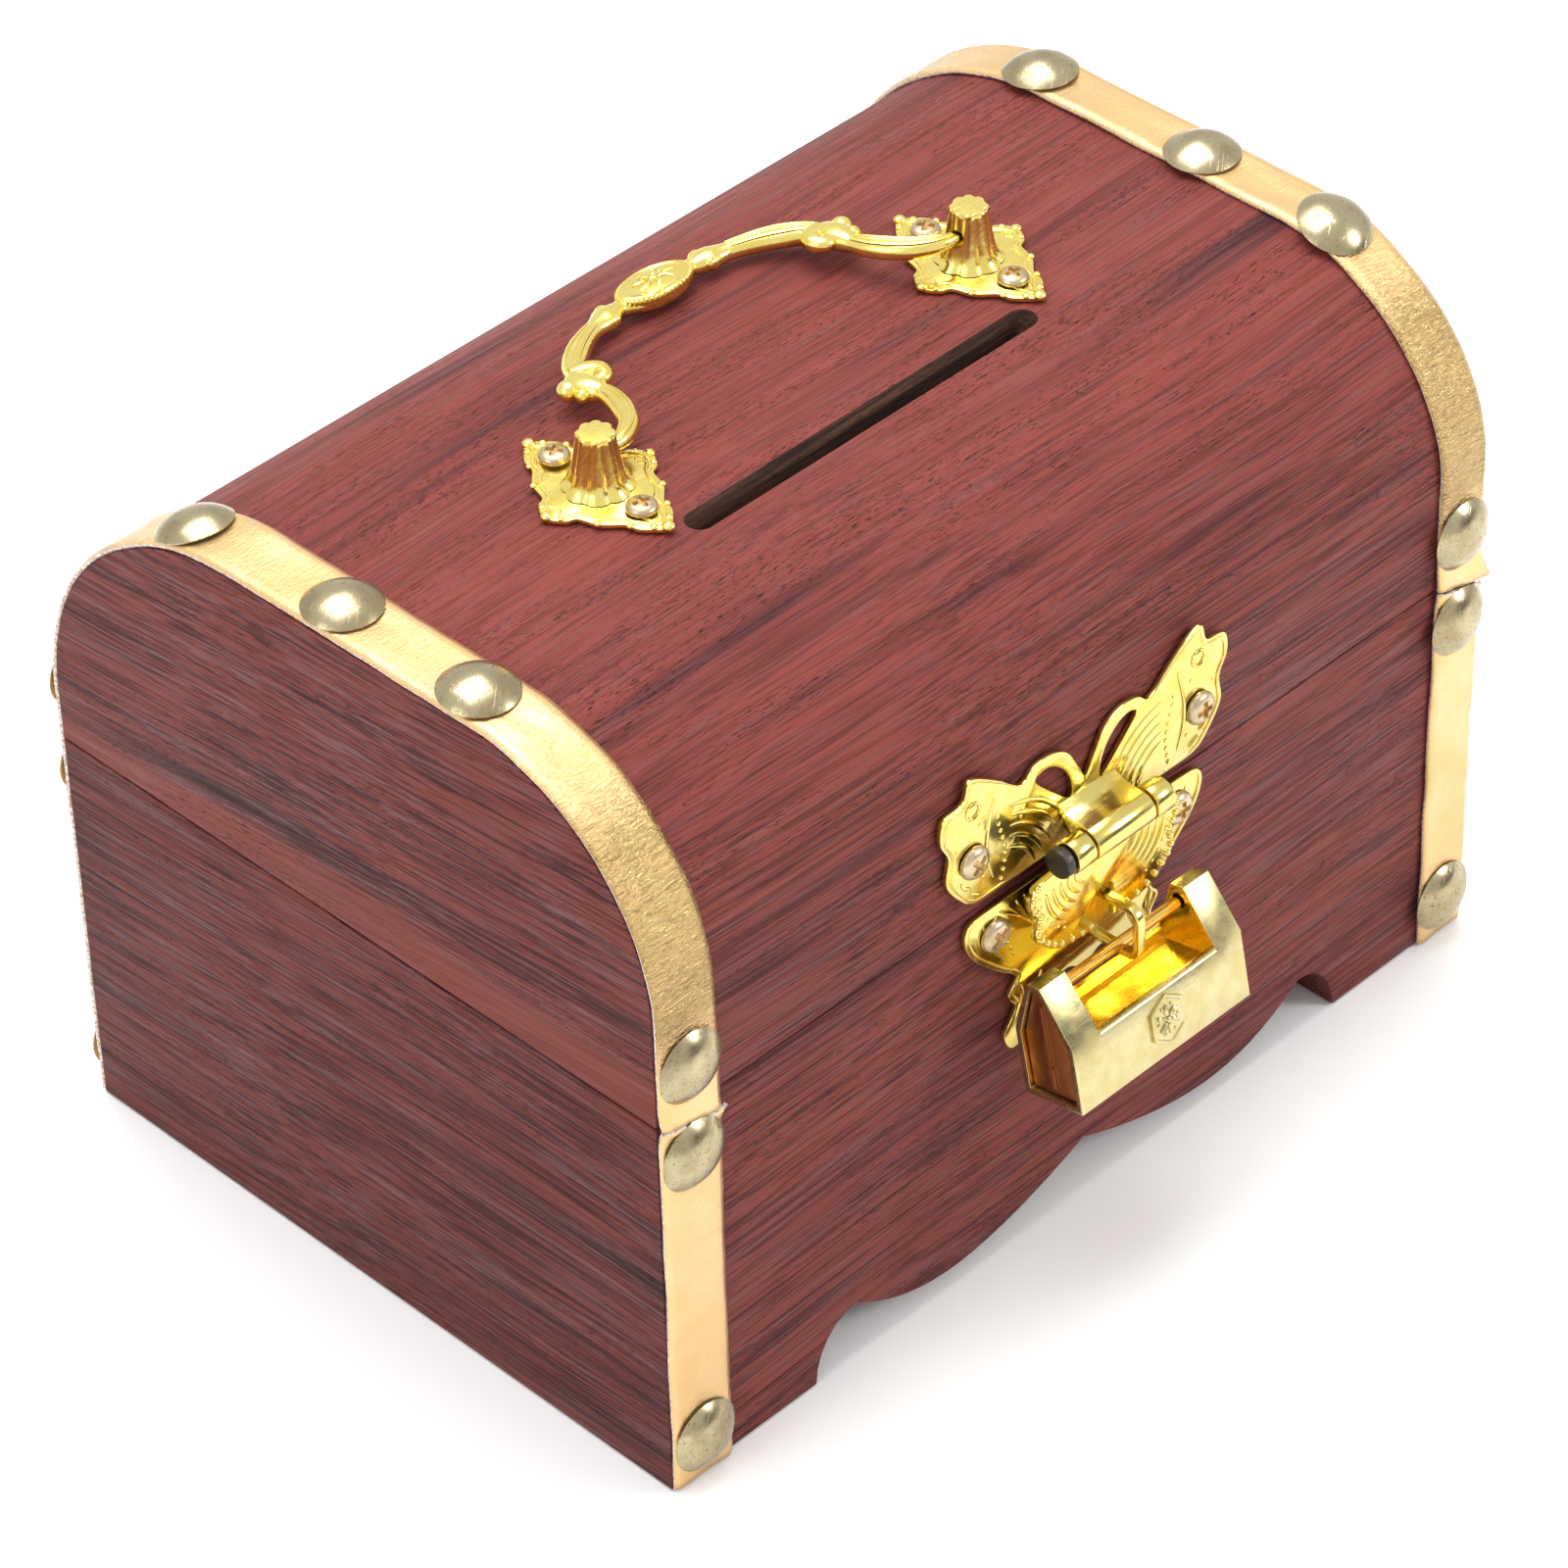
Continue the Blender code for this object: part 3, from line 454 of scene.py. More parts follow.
# %% Place, carve and hand over
def loose_object(name, bm, slots=()):
    mesh = bpy.data.meshes.new(name)
    bm.to_mesh(mesh)
    bm.free()
    for material in slots:
        mesh.materials.append(material)
    item = bpy.data.objects.new(name, mesh)
    bpy.context.collection.objects.link(item)
    return item


def carve(bm, tools):
    """The work with the tools cut out of it. Cut faces keep the tool's material number."""
    work = loose_object("work", bm, (None, None))
    cutters = [loose_object("cutter", tool, (None, None)) for tool in tools]
    for cutter in cutters:
        step = work.modifiers.new("carve", "BOOLEAN")
        step.operation = "DIFFERENCE"
        step.solver = "EXACT"
        step.object = cutter
    bpy.context.view_layer.update()
    result = bmesh.new()
    result.from_object(work, bpy.context.evaluated_depsgraph_get())
    for item in (work, *cutters):
        bpy.data.objects.remove(item)
    return result


def join(bm, other):
    """Adds the other work to this one."""
    mesh = bpy.data.meshes.new("joining")
    other.to_mesh(mesh)
    other.free()
    bm.from_mesh(mesh)
    bpy.data.meshes.remove(mesh)
    return bm


def hand_over(name, bm, materials, body, stands_for, smooth=40, place=None):
    """Makes the object, puts it in place, hangs it on its body and hides the solids that it stands for."""
    if place is not None:
        bmesh.ops.transform(bm, matrix=place @ Matrix.Scale(MM, 4), verts=bm.verts)
    faces = len(bm.faces)
    piece = loose_object(name, bm, materials)
    piece.data.shade_smooth()
    piece.data.set_sharp_from_angle(angle=math.radians(smooth))
    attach(piece, body)
    if stands_for:
        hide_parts(*stands_for)
    print(f"{name}: {faces} faces")
    return piece


def solid_copy(node):
    """A clean copy of a node of the solid model: merged, with its flat faces whole again."""
    bm = bmesh.new()
    bm.from_mesh(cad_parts[node].data)
    bmesh.ops.remove_doubles(bm, verts=bm.verts, dist=1e-6)
    bmesh.ops.dissolve_limit(bm, angle_limit=math.radians(1), verts=bm.verts, edges=bm.edges)
    return bm


# %% [markdown]
# ## The boards of the box
#
# Five boards make the box: front and back between the two ends, and a floor. A copy of each solid is enough,
# with its edges eased by a fifth of a millimetre, as sandpaper leaves them. Faces that look into the box
# get the bare wood.

# %% Make the box boards
INNER_MIDDLE = Vector((0, MIDDLE, PARTING))
WORN_EDGE = 0.00022


def looks_inside(face):
    """True for a face that can be seen only from inside the box."""
    spot = face.calc_center_median()
    skip = BOARD * 0.9
    deep = LEFT + skip < spot.x < RIGHT - skip and FRONT + skip < spot.y < BACK - skip
    return deep and face.normal.dot(INNER_MIDDLE - spot) > 0


def bare_inside(bm):
    bm.normal_update()
    for face in bm.faces:
        if looks_inside(face):
            face.material_index = 1


for node, finish, bare in (("box_front_board", wood_along_x, inside_wood),
                           ("box_back_board", wood_along_x, inside_wood),
                           ("box_left_board", wood_box_end, inside_end_wood),
                           ("box_right_board", wood_box_end, inside_end_wood),
                           ("box_floor_board", inside_wood, inside_wood)):
    bm = ease(solid_copy(node), WORN_EDGE)
    bare_inside(bm)
    hand_over(node.replace("_board", "_wood"), bm, (finish, bare), "box", [node], 30)

# %% [markdown]
# ## The lid
#
# The lid is a shell of bent or hollowed wood between two end boards. Its section rises straight from the
# parting, turns over a tight front shoulder, runs flat, and falls over a wider back shoulder. One vertex is
# pushed along that line: extruded where it is straight and spun where it bends. The same line, pulled in by
# the thickness of the wood, gives the inside.

# %% Draw the lid's section
FRONT_SHOULDER = 0.030
BACK_SHOULDER = 0.038
LID_FOOT = lid_low[2]


def lid_line(bm, x, rise, foot, bend_steps=22, straight=1):
    """The line over the lid, rise metres above the wood, as a list of vertices from front to back."""
    chain = [bm.verts.new((x, FRONT - rise, foot))]

    def go(dy, dz, pieces):
        for _ in range(pieces):
            new = bmesh.ops.extrude_vert_indiv(bm, verts=[chain[-1]])["verts"][0]
            new.co += Vector((0, dy / pieces, dz / pieces))
            chain.append(new)

    def turn(radius, y):
        spun = bmesh.ops.spin(bm, geom=[chain[-1]], cent=(x, y, TOP - radius), axis=(-1, 0, 0),
                              angle=math.pi / 2, steps=bend_steps)
        walk = verts_in(spun["geom_last"])[:1]
        while walk[-1] is not chain[-1]:
            walk.append(next(e.other_vert(walk[-1]) for e in walk[-1].link_edges
                             if e.other_vert(walk[-1]) not in walk))
        chain.extend(walk[-2::-1])

    go(0, TOP - FRONT_SHOULDER - foot, straight)
    turn(FRONT_SHOULDER, FRONT + FRONT_SHOULDER)
    go(BACK - BACK_SHOULDER - FRONT - FRONT_SHOULDER, 0, straight * 2)
    turn(BACK_SHOULDER, BACK - BACK_SHOULDER)
    go(0, foot - TOP + BACK_SHOULDER, straight)
    return chain


def stretch_along_x(bm, face, distance):
    made = bmesh.ops.extrude_face_region(bm, geom=[face])["geom"]
    bmesh.ops.translate(bm, vec=(distance, 0, 0), verts=verts_in(made))
    bmesh.ops.recalc_face_normals(bm, faces=bm.faces)


# %% Make the lid's end boards
for node, x in (("lid_left_end", LEFT), ("lid_right_end", RIGHT - BOARD)):
    bm = bmesh.new()
    stretch_along_x(bm, bm.faces.new(lid_line(bm, x, 0, LID_FOOT)), BOARD)
    ease(bm, WORN_EDGE)
    bare_inside(bm)
    hand_over(node + "_wood", bm, (wood_lid_end, inside_end_wood), "lid", [node], 30)

# %% [markdown]
# ## The shell and its coin slot
#
# The slot is milled through the flat top, a little in front of the middle, and its ends are round. It is cut
# with a Boolean, and the tool's faces carry the second material, so the walls come out bare and darkened by
# painted shade.

# %% Make the lid shell
SLOT_HALF = 0.03125
SLOT_WIDE = 0.0042
SLOT_Y = MIDDLE - 0.0164
CUT_REACH = 0.02
bm = bmesh.new()
outer = lid_line(bm, lid_low[0], 0, LID_FOOT)
inner = lid_line(bm, lid_low[0], -BOARD, LID_FOOT)
stretch_along_x(bm, bm.faces.new(outer + inner[::-1]), lid_high[0] - lid_low[0])
ease(bm, 0.0003, faces={f for f in bm.faces if f.normal.z < -0.9})

tool = bmesh.new()
reach = SLOT_HALF - SLOT_WIDE / 2
cap = bmesh.ops.create_circle(tool, cap_ends=True, segments=32, radius=SLOT_WIDE / 2)["verts"]
for v in cap:
    side = v.co.x if abs(v.co.x) > 1e-7 else 1
    v.co = Vector((v.co.x + math.copysign(reach, side), v.co.y + SLOT_Y, TOP - CUT_REACH))
made = bmesh.ops.extrude_face_region(tool, geom=list(tool.faces))["geom"]
bmesh.ops.translate(tool, vec=(0, 0, 2 * CUT_REACH), verts=verts_in(made))
bmesh.ops.recalc_face_normals(tool, faces=tool.faces)
for face in tool.faces:
    face.material_index = 1
bm = carve(bm, [tool])
bm.normal_update()
for face in bm.faces:
    if looks_inside(face) and face.material_index == 0:
        face.material_index = 2
hand_over("lid_shell_wood", bm, (wood_along_x, slot_wood_painted_shade, inside_wood), "lid", ["lid_top_shell"],
          30)

# %% [markdown]
# ## Gold leather straps
#
# The straps are thin leather with a gold foil. They are cut from a flat strip and pulled round the corners,
# so they are never quite flat: the long edges roll down and the middle swells between the tacks. Round the
# shoulders the leather is squeezed, so fine wrinkles run across it; there the foil's colour is darkened as
# painted shade, for the dim surround it mirrors, and the creases of the wrinkles carry painted shade too.
# The foil mirrors softly, and at a cut the pale core shows.

# %% Finish the leather
def gold_leather(name):
    finish = Finish(name, metallic=0.82, roughness=0.36, colour=(0.80, 0.54, 0.26))
    height = finish.add("ShaderNodeSeparateXYZ", {0: finish.place}).outputs[2]
    bent = finish.times(finish.mask(height, 0.070, 0.078, 0.12, 1.0),
                        finish.mask(height, 0.1075, 0.100, 0.12, 1.0))
    wrinkles = finish.noise((0.0020, 0.00040, 0.00040), 3.0, distortion=0.9)
    pebbles = finish.noise(0.00045, 2.0, shift=0.2)
    rubbing = finish.noise(0.008, 3.0, shift=0.5)
    colour = finish.mix(finish.mask(rubbing, 0.40, 0.68), (0.81, 0.545, 0.265), (0.76, 0.50, 0.215))
    # Painted shade: on the shoulders the foil's colour is darkened, standing in for the dim surround it
    # mirrors.
    colour = finish.mix(finish.mask(bent, 0.3, 1.0, 0.0, 0.85), colour, (0.46, 0.32, 0.125))
    # Painted shade in the creases of the shoulder wrinkles.
    painted_crease_shade = finish.times(finish.mask(wrinkles, 0.46, 0.32, 0.0, 0.7), bent)
    colour = finish.mix(painted_crease_shade, colour, (0.26, 0.15, 0.05))
    relief = finish.sum(finish.times(finish.mask(wrinkles, 0.25, 0.75), bent), pebbles, 0.10)
    roughness = finish.sum(finish.mask(rubbing, 0.35, 0.70, 0.28, 0.42), bent, -0.08)
    return finish.connect(colour, roughness, relief, 0.00036)


def leather_core(name):
    finish = Finish(name, roughness=0.85, colour=(0.62, 0.50, 0.42))
    fuzz = finish.noise(0.0005, 3.0)
    colour = finish.mix(finish.mask(fuzz, 0.4, 0.6), (0.44, 0.30, 0.22), (0.82, 0.74, 0.68))
    return finish.connect(colour, finish.mask(fuzz, 0.3, 0.7, 0.75, 0.95), fuzz, 0.0001)


leather = gold_leather("gold_leather_foil")
core = leather_core("gold_leather_core")

# %% Shape a strap from a flat sheet
COLUMNS = 12
STRAP_RISE = 0.00095
STRAP_SHEET = 0.00055
SWELL = 0.00006
EDGE_ROLL, FLAT_SHARE = 0.00042, 0.78
GROOVE, GROOVE_SHARE, GROOVE_WIDTH = 0.00012, 0.14, 0.045
WAVES, RIPPLES, FRAYED, WAVY_EDGE = 0.00022, 0.00007, 0.00025, 0.00012
CUT_FALL = -0.0025
CUT_LIFT = 0.0007


def outward(co):
    """The direction straight out of the lid or the box at a point of its outline."""
    centre = Vector((co.x, min(max(co.y, FRONT + FRONT_SHOULDER), BACK - BACK_SHOULDER), co.z))
    radius = FRONT_SHOULDER if co.y < centre.y else BACK_SHOULDER
    if co.z > TOP - radius:
        centre.z = TOP - radius
    return (co - centre).normalized()


def settle(bm, low_x, high_x, outer_sign, cut_z, seed, flare=0.0):
    """Rolls the edges down, swells the middle, lifts the cut ends and slants them.

    flare is how far a corner of the cut sticks out sideways: the outer one, or the inner one if negative.
    """
    width = high_x - low_x
    for v in list(bm.verts):
        out = outward(v.co) if v.co.z > PARTING else Vector((0, -1 if v.co.y < MIDDLE else 1, 0))
        across = (v.co.x - low_x) / width
        side = abs(2 * across - 1)
        from_outer = across if outer_sign < 0 else 1 - across
        rolled = max(side - FLAT_SHARE, 0) / (1 - FLAT_SHARE)
        rise = SWELL * math.cos(math.tau * across) - EDGE_ROLL * rolled ** 2
        rise -= GROOVE * math.exp(-((from_outer - GROOVE_SHARE) / GROOVE_WIDTH) ** 2)
        rise += WAVES * noise.noise(v.co * 95 + Vector((seed, 0, 0)))
        rise += RIPPLES * noise.noise(v.co * 420 + Vector((0, seed, 0)))
        if v.co.y < MIDDLE:
            reach = abs(v.co.z - cut_z)
            rise += CUT_LIFT * max(1 - reach / 0.0035, 0) ** 2 * (0.4 + 0.6 * (1 - from_outer) ** 2)
            v.co.z += CUT_FALL * across * max(1 - reach / 0.006, 0)
            corner = 1 - from_outer if flare > 0 else from_outer
            v.co.x += outer_sign * flare * corner ** 3 * max(1 - reach / 0.0045, 0) ** 1.5
            v.co.z += FRAYED * noise.noise(Vector((v.co.x * 900, seed, 0))) * max(1 - reach / 0.002, 0)
        if side > 0.9:
            v.co.x += WAVY_EDGE * noise.noise(Vector((seed, v.co.y * 160, v.co.z * 160)))
        v.co += out * rise


def add_strap(bm, node):
    """Turns the sheet's good side out, gives it thickness, and lets it stand in for the node."""
    bm.normal_update()
    sample = next(iter(bm.faces))
    spot = sample.calc_center_median()
    away = outward(spot) if spot.z > PARTING else Vector((0, spot.y - MIDDLE, 0))
    if sample.normal.dot(away) < 0:
        bmesh.ops.reverse_faces(bm, faces=bm.faces)
    strap = hand_over(node + "_leather", bm, (leather, core), node.split("_")[0], [node], 60)
    sheet = strap.modifiers.new("thickness", "SOLIDIFY")
    sheet.thickness = STRAP_SHEET
    sheet.offset = -1
    sheet.use_even_offset = True
    sheet.material_offset_rim = 1


# %% Cut and lay the straps
for sign, side in ((-1, "left"), (1, "right")):
    node = f"lid_strap_{side}"
    low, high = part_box(node)
    bm = bmesh.new()
    lid_line(bm, low[0], STRAP_RISE, PARTING + AIR, bend_steps=40, straight=24)
    line = list(bm.edges)
    for _ in range(COLUMNS):
        made = bmesh.ops.extrude_edge_only(bm, edges=line)["geom"]
        fresh = verts_in(made)
        bmesh.ops.translate(bm, vec=((high[0] - low[0]) / COLUMNS, 0, 0), verts=fresh)
        line = [g for g in made if isinstance(g, bmesh.types.BMEdge) and all(v in fresh for v in g.verts)]
    settle(bm, low[0], high[0], sign, PARTING + AIR, 3.7 * sign, 0.0016 if side == "right" else 0.0)
    add_strap(bm, node)
    for face, name in ((-1, "front"), (1, "back")):
        node = f"box_strap_{name}_{side}"
        low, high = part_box(node)
        wall = FRONT - STRAP_RISE if face < 0 else BACK + STRAP_RISE
        top = PARTING - AIR
        bm = bmesh.new()
        place = (move(((low[0] + high[0]) / 2, wall, (low[2] + top) / 2)) @ UPRIGHT
                 @ Matrix.Diagonal(((high[0] - low[0]) / 2, (top - low[2]) / 2, 1, 1)))
        bmesh.ops.create_grid(bm, x_segments=COLUMNS, y_segments=60, size=1, matrix=place)
        settle(bm, low[0], high[0], sign, top, 9.1 * sign + face, -0.0012 if side == "left" else 0.0)
        add_strap(bm, node)

# %% [markdown]
# ## Dome tacks
#
# Twenty upholstery tacks hold the straps. Each is a shallow pressed dome of brass-plated steel with a small
# turned-in rim. It has been handled and shaken in a bag, so the plating is spotted and scratched, and it is
# darkest at the rim. A turned profile gives the dome. Its seat and direction come from the solid model.

# %% Finish the tacks and the screws
def spotted_brass(name, bright, dull, spot, roughness, spot_size=0.0004):
    finish = Finish(name, metallic=1.0, roughness=roughness, colour=bright)
    cloud = finish.noise(0.0035, 4.0)
    specks = finish.noise(spot_size, 3.0, shift=0.4)
    lines = finish.noise((0.0045, 0.00018, 0.0045), 2.0, shift=0.7, turn=(0.4, 0.2, 0.9))
    colour = finish.mix(finish.mask(cloud, 0.38, 0.66), bright, dull)
    colour = finish.mix(finish.mask(specks, 0.60, 0.70, 0.0, 0.75), colour, spot)
    rough = finish.sum(finish.mask(cloud, 0.3, 0.7, roughness * 0.8, roughness * 1.35),
                       finish.mask(specks, 0.58, 0.70), 0.2)
    relief = finish.sum(finish.mask(lines, 0.62, 0.74), specks, 0.4)
    return finish.connect(colour, rough, relief, 0.000012)


tack_brass = spotted_brass("aged_tack_brass", (0.48, 0.41, 0.25), (0.34, 0.28, 0.16),
                           (0.10, 0.08, 0.045), 0.23)
screw_brass = spotted_brass("pale_screw_brass", (0.60, 0.48, 0.32), (0.48, 0.35, 0.20),
                            (0.20, 0.12, 0.05), 0.32)
# Painted shade: the cross recess is a deeper orange brass, standing in for the shade and the brass-to-brass
# reflection inside it.
recess_painted_shade = spotted_brass("screw_recess_painted_shade", (0.58, 0.40, 0.17), (0.42, 0.26, 0.10),
                             (0.16, 0.08, 0.03), 0.4)

# %% Press the tacks
def seat_matrix(node, turn=0.0):
    """From a dome made facing up to its place: on the flat underside of the solid, turned about its axis."""
    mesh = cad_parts[node].data
    area = {}
    for triangle in mesh.polygons:
        key = tuple(round(value, 2) for value in triangle.normal)
        area[key] = area.get(key, 0) + triangle.area
    down = Vector(max(area, key=area.get)).normalized()
    depth = max(v.co.dot(down) for v in mesh.vertices)
    under = [v.co for v in mesh.vertices if v.co.dot(down) > depth - 1e-5]
    facing = (-down).to_track_quat("Z", "Y").to_matrix().to_4x4()
    return move(sum(under, Vector()) / len(under)) @ facing @ Matrix.Rotation(turn, 4, "Z")


TACK_RADIUS, TACK_RISE, TACK_RIM = 5.3, 2.2, 0.12
ball = (TACK_RADIUS ** 2 + TACK_RISE ** 2) / (2 * TACK_RISE)
reach = math.asin((TACK_RADIUS - TACK_RIM) / ball)
dome_line = [(ball * math.sin(a), TACK_RISE - ball + ball * math.cos(a))
             for a in (reach * i / 12 for i in range(13))]
dome_line += [(5.28, 0.02), (5.25, -0.12), (4.9, -0.16), (0, -0.16)]
tacks = sorted(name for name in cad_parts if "_tack_" in name)
for number, node in enumerate(tacks):
    hand_over(node + "_dome", turned(dome_line, 40), (tack_brass,), node.split("_")[0], [node],
              50, seat_matrix(node, number * 1.7))

# %% [markdown]
# ## Cross-head screws
#
# Eight small screws hold the handle's plates and the latch. The head is a low pan, and its cross recess is
# cut by two thin tapered blades with a Boolean. Each screw stops at its own angle, so each cross is turned
# differently.

# %% Cut the screw head
def screw_head():
    bm = turned([(0, 1.02), (0.9, 0.99), (1.5, 0.86), (1.9, 0.58), (2.08, 0.25), (2.1, 0.08), (2.05, -0.1),
                 (0, -0.1)])
    blades = []
    for turn in (0, math.pi / 2):
        blade = bmesh.new()
        size = Matrix.Diagonal((3.3, 1.15, 1.0, 1))
        bmesh.ops.create_cube(blade, size=1, matrix=move((0, 0, 1.1)) @ size)
        for v in blade.verts:
            if v.co.z < 1:
                v.co.x *= 0.62
                v.co.y *= 0.45
        bmesh.ops.rotate(blade, cent=(0, 0, 0), matrix=Matrix.Rotation(turn, 3, "Z"), verts=blade.verts)
        # The recess faces take the second material, the painted shade.
        for face in blade.faces:
            face.material_index = 1
        blades.append(blade)
    return carve(bm, blades)


SCREW = screw_head()
screws = sorted(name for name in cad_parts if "_screw_" in name)
for number, node in enumerate(screws):
    body = "box" if "lower" in node else "lid"
    size = Matrix.Scale(1.16 if "latch" in node else 1.0, 4)
    hand_over(node + "_head", SCREW.copy(), (screw_brass, recess_painted_shade), body, [node], 35,
              seat_matrix(node, 0.5 + number * 0.83) @ size)

# %% [markdown]
# ## Bright brass
#
# The handle, latch and padlock are pressed or cast, then plated a bright lemon yellow. Where they reflect
# each other the yellow deepens to orange; that orange, in the padlock's hollow and on its bar, is painted
# into the colour as a painted reflection, and so is the wood's brown on the bar's end plate. The plating is
# smooth, but the sheet below isn't flat: it is slightly wavy from the press, with hair scratches and a few
# dull specks.

# %% Finish the bright brass
def bright_brass(name, light, deep, roughness, wave=0.00005, cast=0.0):
    finish = Finish(name, metallic=1.0, roughness=roughness, colour=light)
    waves = finish.noise(0.0028, 2.0)
    hairs = finish.noise((0.0060, 0.00016, 0.0060), 2.0, shift=0.3, turn=(0.5, 0.7, 0.3))
    grit = finish.noise(0.00035, 2.0, shift=0.6)
    colour = finish.mix(finish.mask(waves, 0.40, 0.66), light, deep)
    colour = finish.mix(finish.mask(grit, 0.66, 0.74, 0.0, 0.5), colour, (0.42, 0.24, 0.05))
    rough = finish.sum(finish.mask(waves, 0.3, 0.7, roughness * 0.8, roughness * 1.3),
                       finish.mask(hairs, 0.58, 0.70), 0.10)
    relief = finish.sum(waves, grit, 0.03 + cast)
    relief = finish.sum(relief, finish.mask(hairs, 0.62, 0.72), -0.03)
    return finish.connect(colour, rough, relief, wave)


handle_brass = bright_brass("handle_brass", (0.90, 0.74, 0.22), (0.84, 0.66, 0.15), 0.20)
latch_brass = bright_brass("latch_brass", (0.72, 0.60, 0.20), (0.72, 0.55, 0.13), 0.17)
padlock_brass = bright_brass("padlock_brass", (0.59, 0.51, 0.27), (0.56, 0.47, 0.21), 0.27, cast=0.05)
# Painted reflection: the padlock's hollow is a deeper orange, standing in for the brass facing it.
hollow_painted_reflection = bright_brass("padlock_hollow_painted_reflection", (0.98, 0.72, 0.10), (0.94, 0.58, 0.05), 0.22)
# Painted reflection: the bar is brass made more orange, for the wood and gold it mirrors.
bar_brass = bright_brass("bar_brass", (0.92, 0.56, 0.14), (0.84, 0.46, 0.09), 0.2)
# Painted reflection: the bar's end plate is given the brown of the wood it mirrors.
end_painted_reflection = bright_brass("padlock_end_painted_reflection", (0.30, 0.105, 0.035), (0.27, 0.092, 0.028), 0.48, wave=0.00001)
hinge_brass = bright_brass("hinge_brass", (0.80, 0.62, 0.20), (0.70, 0.52, 0.15), 0.28)
pin_steel = spotted_brass("dark_pin_steel", (0.10, 0.09, 0.08), (0.07, 0.06, 0.055), (0.03, 0.025, 0.02), 0.38)

# %% [markdown]
# ## The handle's brackets
#
# A bracket is two castings: a pointed plate with beaded corners and scrolls, and a fluted post that holds
# the handle's end. The plate is cut from an outline, and its border, scrolls and beads are drawn on top.
# The post is a stack of flower-shaped rings, wide and wavy at its skirt and crisp at its head.

# %% Cast the bracket plates
HANDLE_Y = MIDDLE - 0.0029
HANDLE_RISE = 5.4
BRACKET_X = 0.0336
plate_quarter = [(9.3, 0), (8.0, 2.4), (6.6, 3.2), (5.6, 6.0), (3.4, 8.4), (2.8, 10.4), (0, 13.3)]
plate_half = [(x, -y) for x, y in plate_quarter[::-1]] + plate_quarter[1:]


def four_ways(points):
    """The same points in all four quarters of the plate."""
    return [[(x * a, y * b, z) for x, y, z in points] for a in (1, -1) for b in (1, -1)]


def bracket_plate():
    bm = bmesh.new()
    outline = mirrored(curve_through(plate_half, 6))
    sheet_metal(bm, outline, 0, 0.62)
    ease(bm, 0.14)
    raised_line(bm, [(x * 0.87, y * 0.88, 0.58) for x, y in outline], 0.62, 0.24, closed=True)
    for x, y, size in ((0, 12.5, 0.95), (1.3, 11.3, 0.6), (8.9, 0, 0.85), (8.0, 1.7, 0.5), (5.6, 5.7, 0.55),
                       (3.2, 9.0, 0.5)):
        for spot in {way[0] for way in four_ways([(x, y, 0.6)])}:
            bead(bm, spot, size, 0.7)
    for scroll in (((1.2, 9.9), (2.3, 8.6), (2.6, 7.2), (3.9, 6.4), (4.7, 5.0)),
                   ((4.6, 4.6), (5.6, 3.6), (6.1, 2.2), (7.3, 1.1), (6.6, 0.2)),
                   ((0.4, 10.8), (0.9, 9.2), (0.5, 7.6))):
        for way in four_ways(curve_through(at(0.6, *scroll), 4)):
            raised_line(bm, way, 0.5, 0.22)
    return bm


for x, side in ((-BRACKET_X, "left"), (BRACKET_X, "right")):
    place = move((x, HANDLE_Y, TOP + AIR))
    hand_over(f"handle_plate_{side}_cast", bracket_plate(), (handle_brass,), "lid", [f"handle_plate_{side}"],
              40, place)

# %% Cast the fluted posts
def fluted_post(sign):
    """Rings from skirt to head, joined up, then bored from the inner side for the handle's end."""
    bm = bmesh.new()
    rings = []
    for height, radius, wave in ((1.05, 4.55, 0.05), (1.3, 4.3, 0.06), (1.8, 3.8, 0.055), (2.5, 3.5, 0.05),
                                 (3.3, 3.3, 0.05), (5.6, 2.85, 0.055), (8.3, 2.42, 0.06), (8.9, 2.38, 0.08),
                                 (9.1, 2.2, 0.09), (9.16, 1.2, 0.03)):
        ring = bmesh.ops.create_circle(bm, cap_ends=False, segments=80, radius=radius)["verts"]
        for v in ring:
            angle = math.atan2(v.co.y, v.co.x)
            v.co *= 1 + wave * (2 * abs(math.cos(4 * angle)) - 1)
            v.co.z = height
        rings.append(ring)
    skin(bm, rings)
    bore = bmesh.new()
    bmesh.ops.create_cone(bore, cap_ends=True, segments=24, radius1=1.35, radius2=1.35, depth=5,
                          matrix=move((-sign * 3.6, 0, HANDLE_RISE)) @ ALONG_X)
    return carve(bm, [bore])


for sign, side in ((-1, "left"), (1, "right")):
    place = move((sign * BRACKET_X, HANDLE_Y, TOP))
    hand_over(f"handle_post_{side}_cast", fluted_post(sign), (handle_brass,), "lid", [f"handle_post_{side}"],
              38, place)

# %% [markdown]
# ## The handle
#
# The bail is one casting: a tapering arm grows out of each post, curls round a scroll with two balls, and
# runs to an oval medallion in the middle. A ring is set at each change of width along the line and the rings
# are bridged. Veins, balls and the medallion's beaded rim are added on top. It is made lying flat round the
# axis of its ends, then leaned back until it rests on the lid.

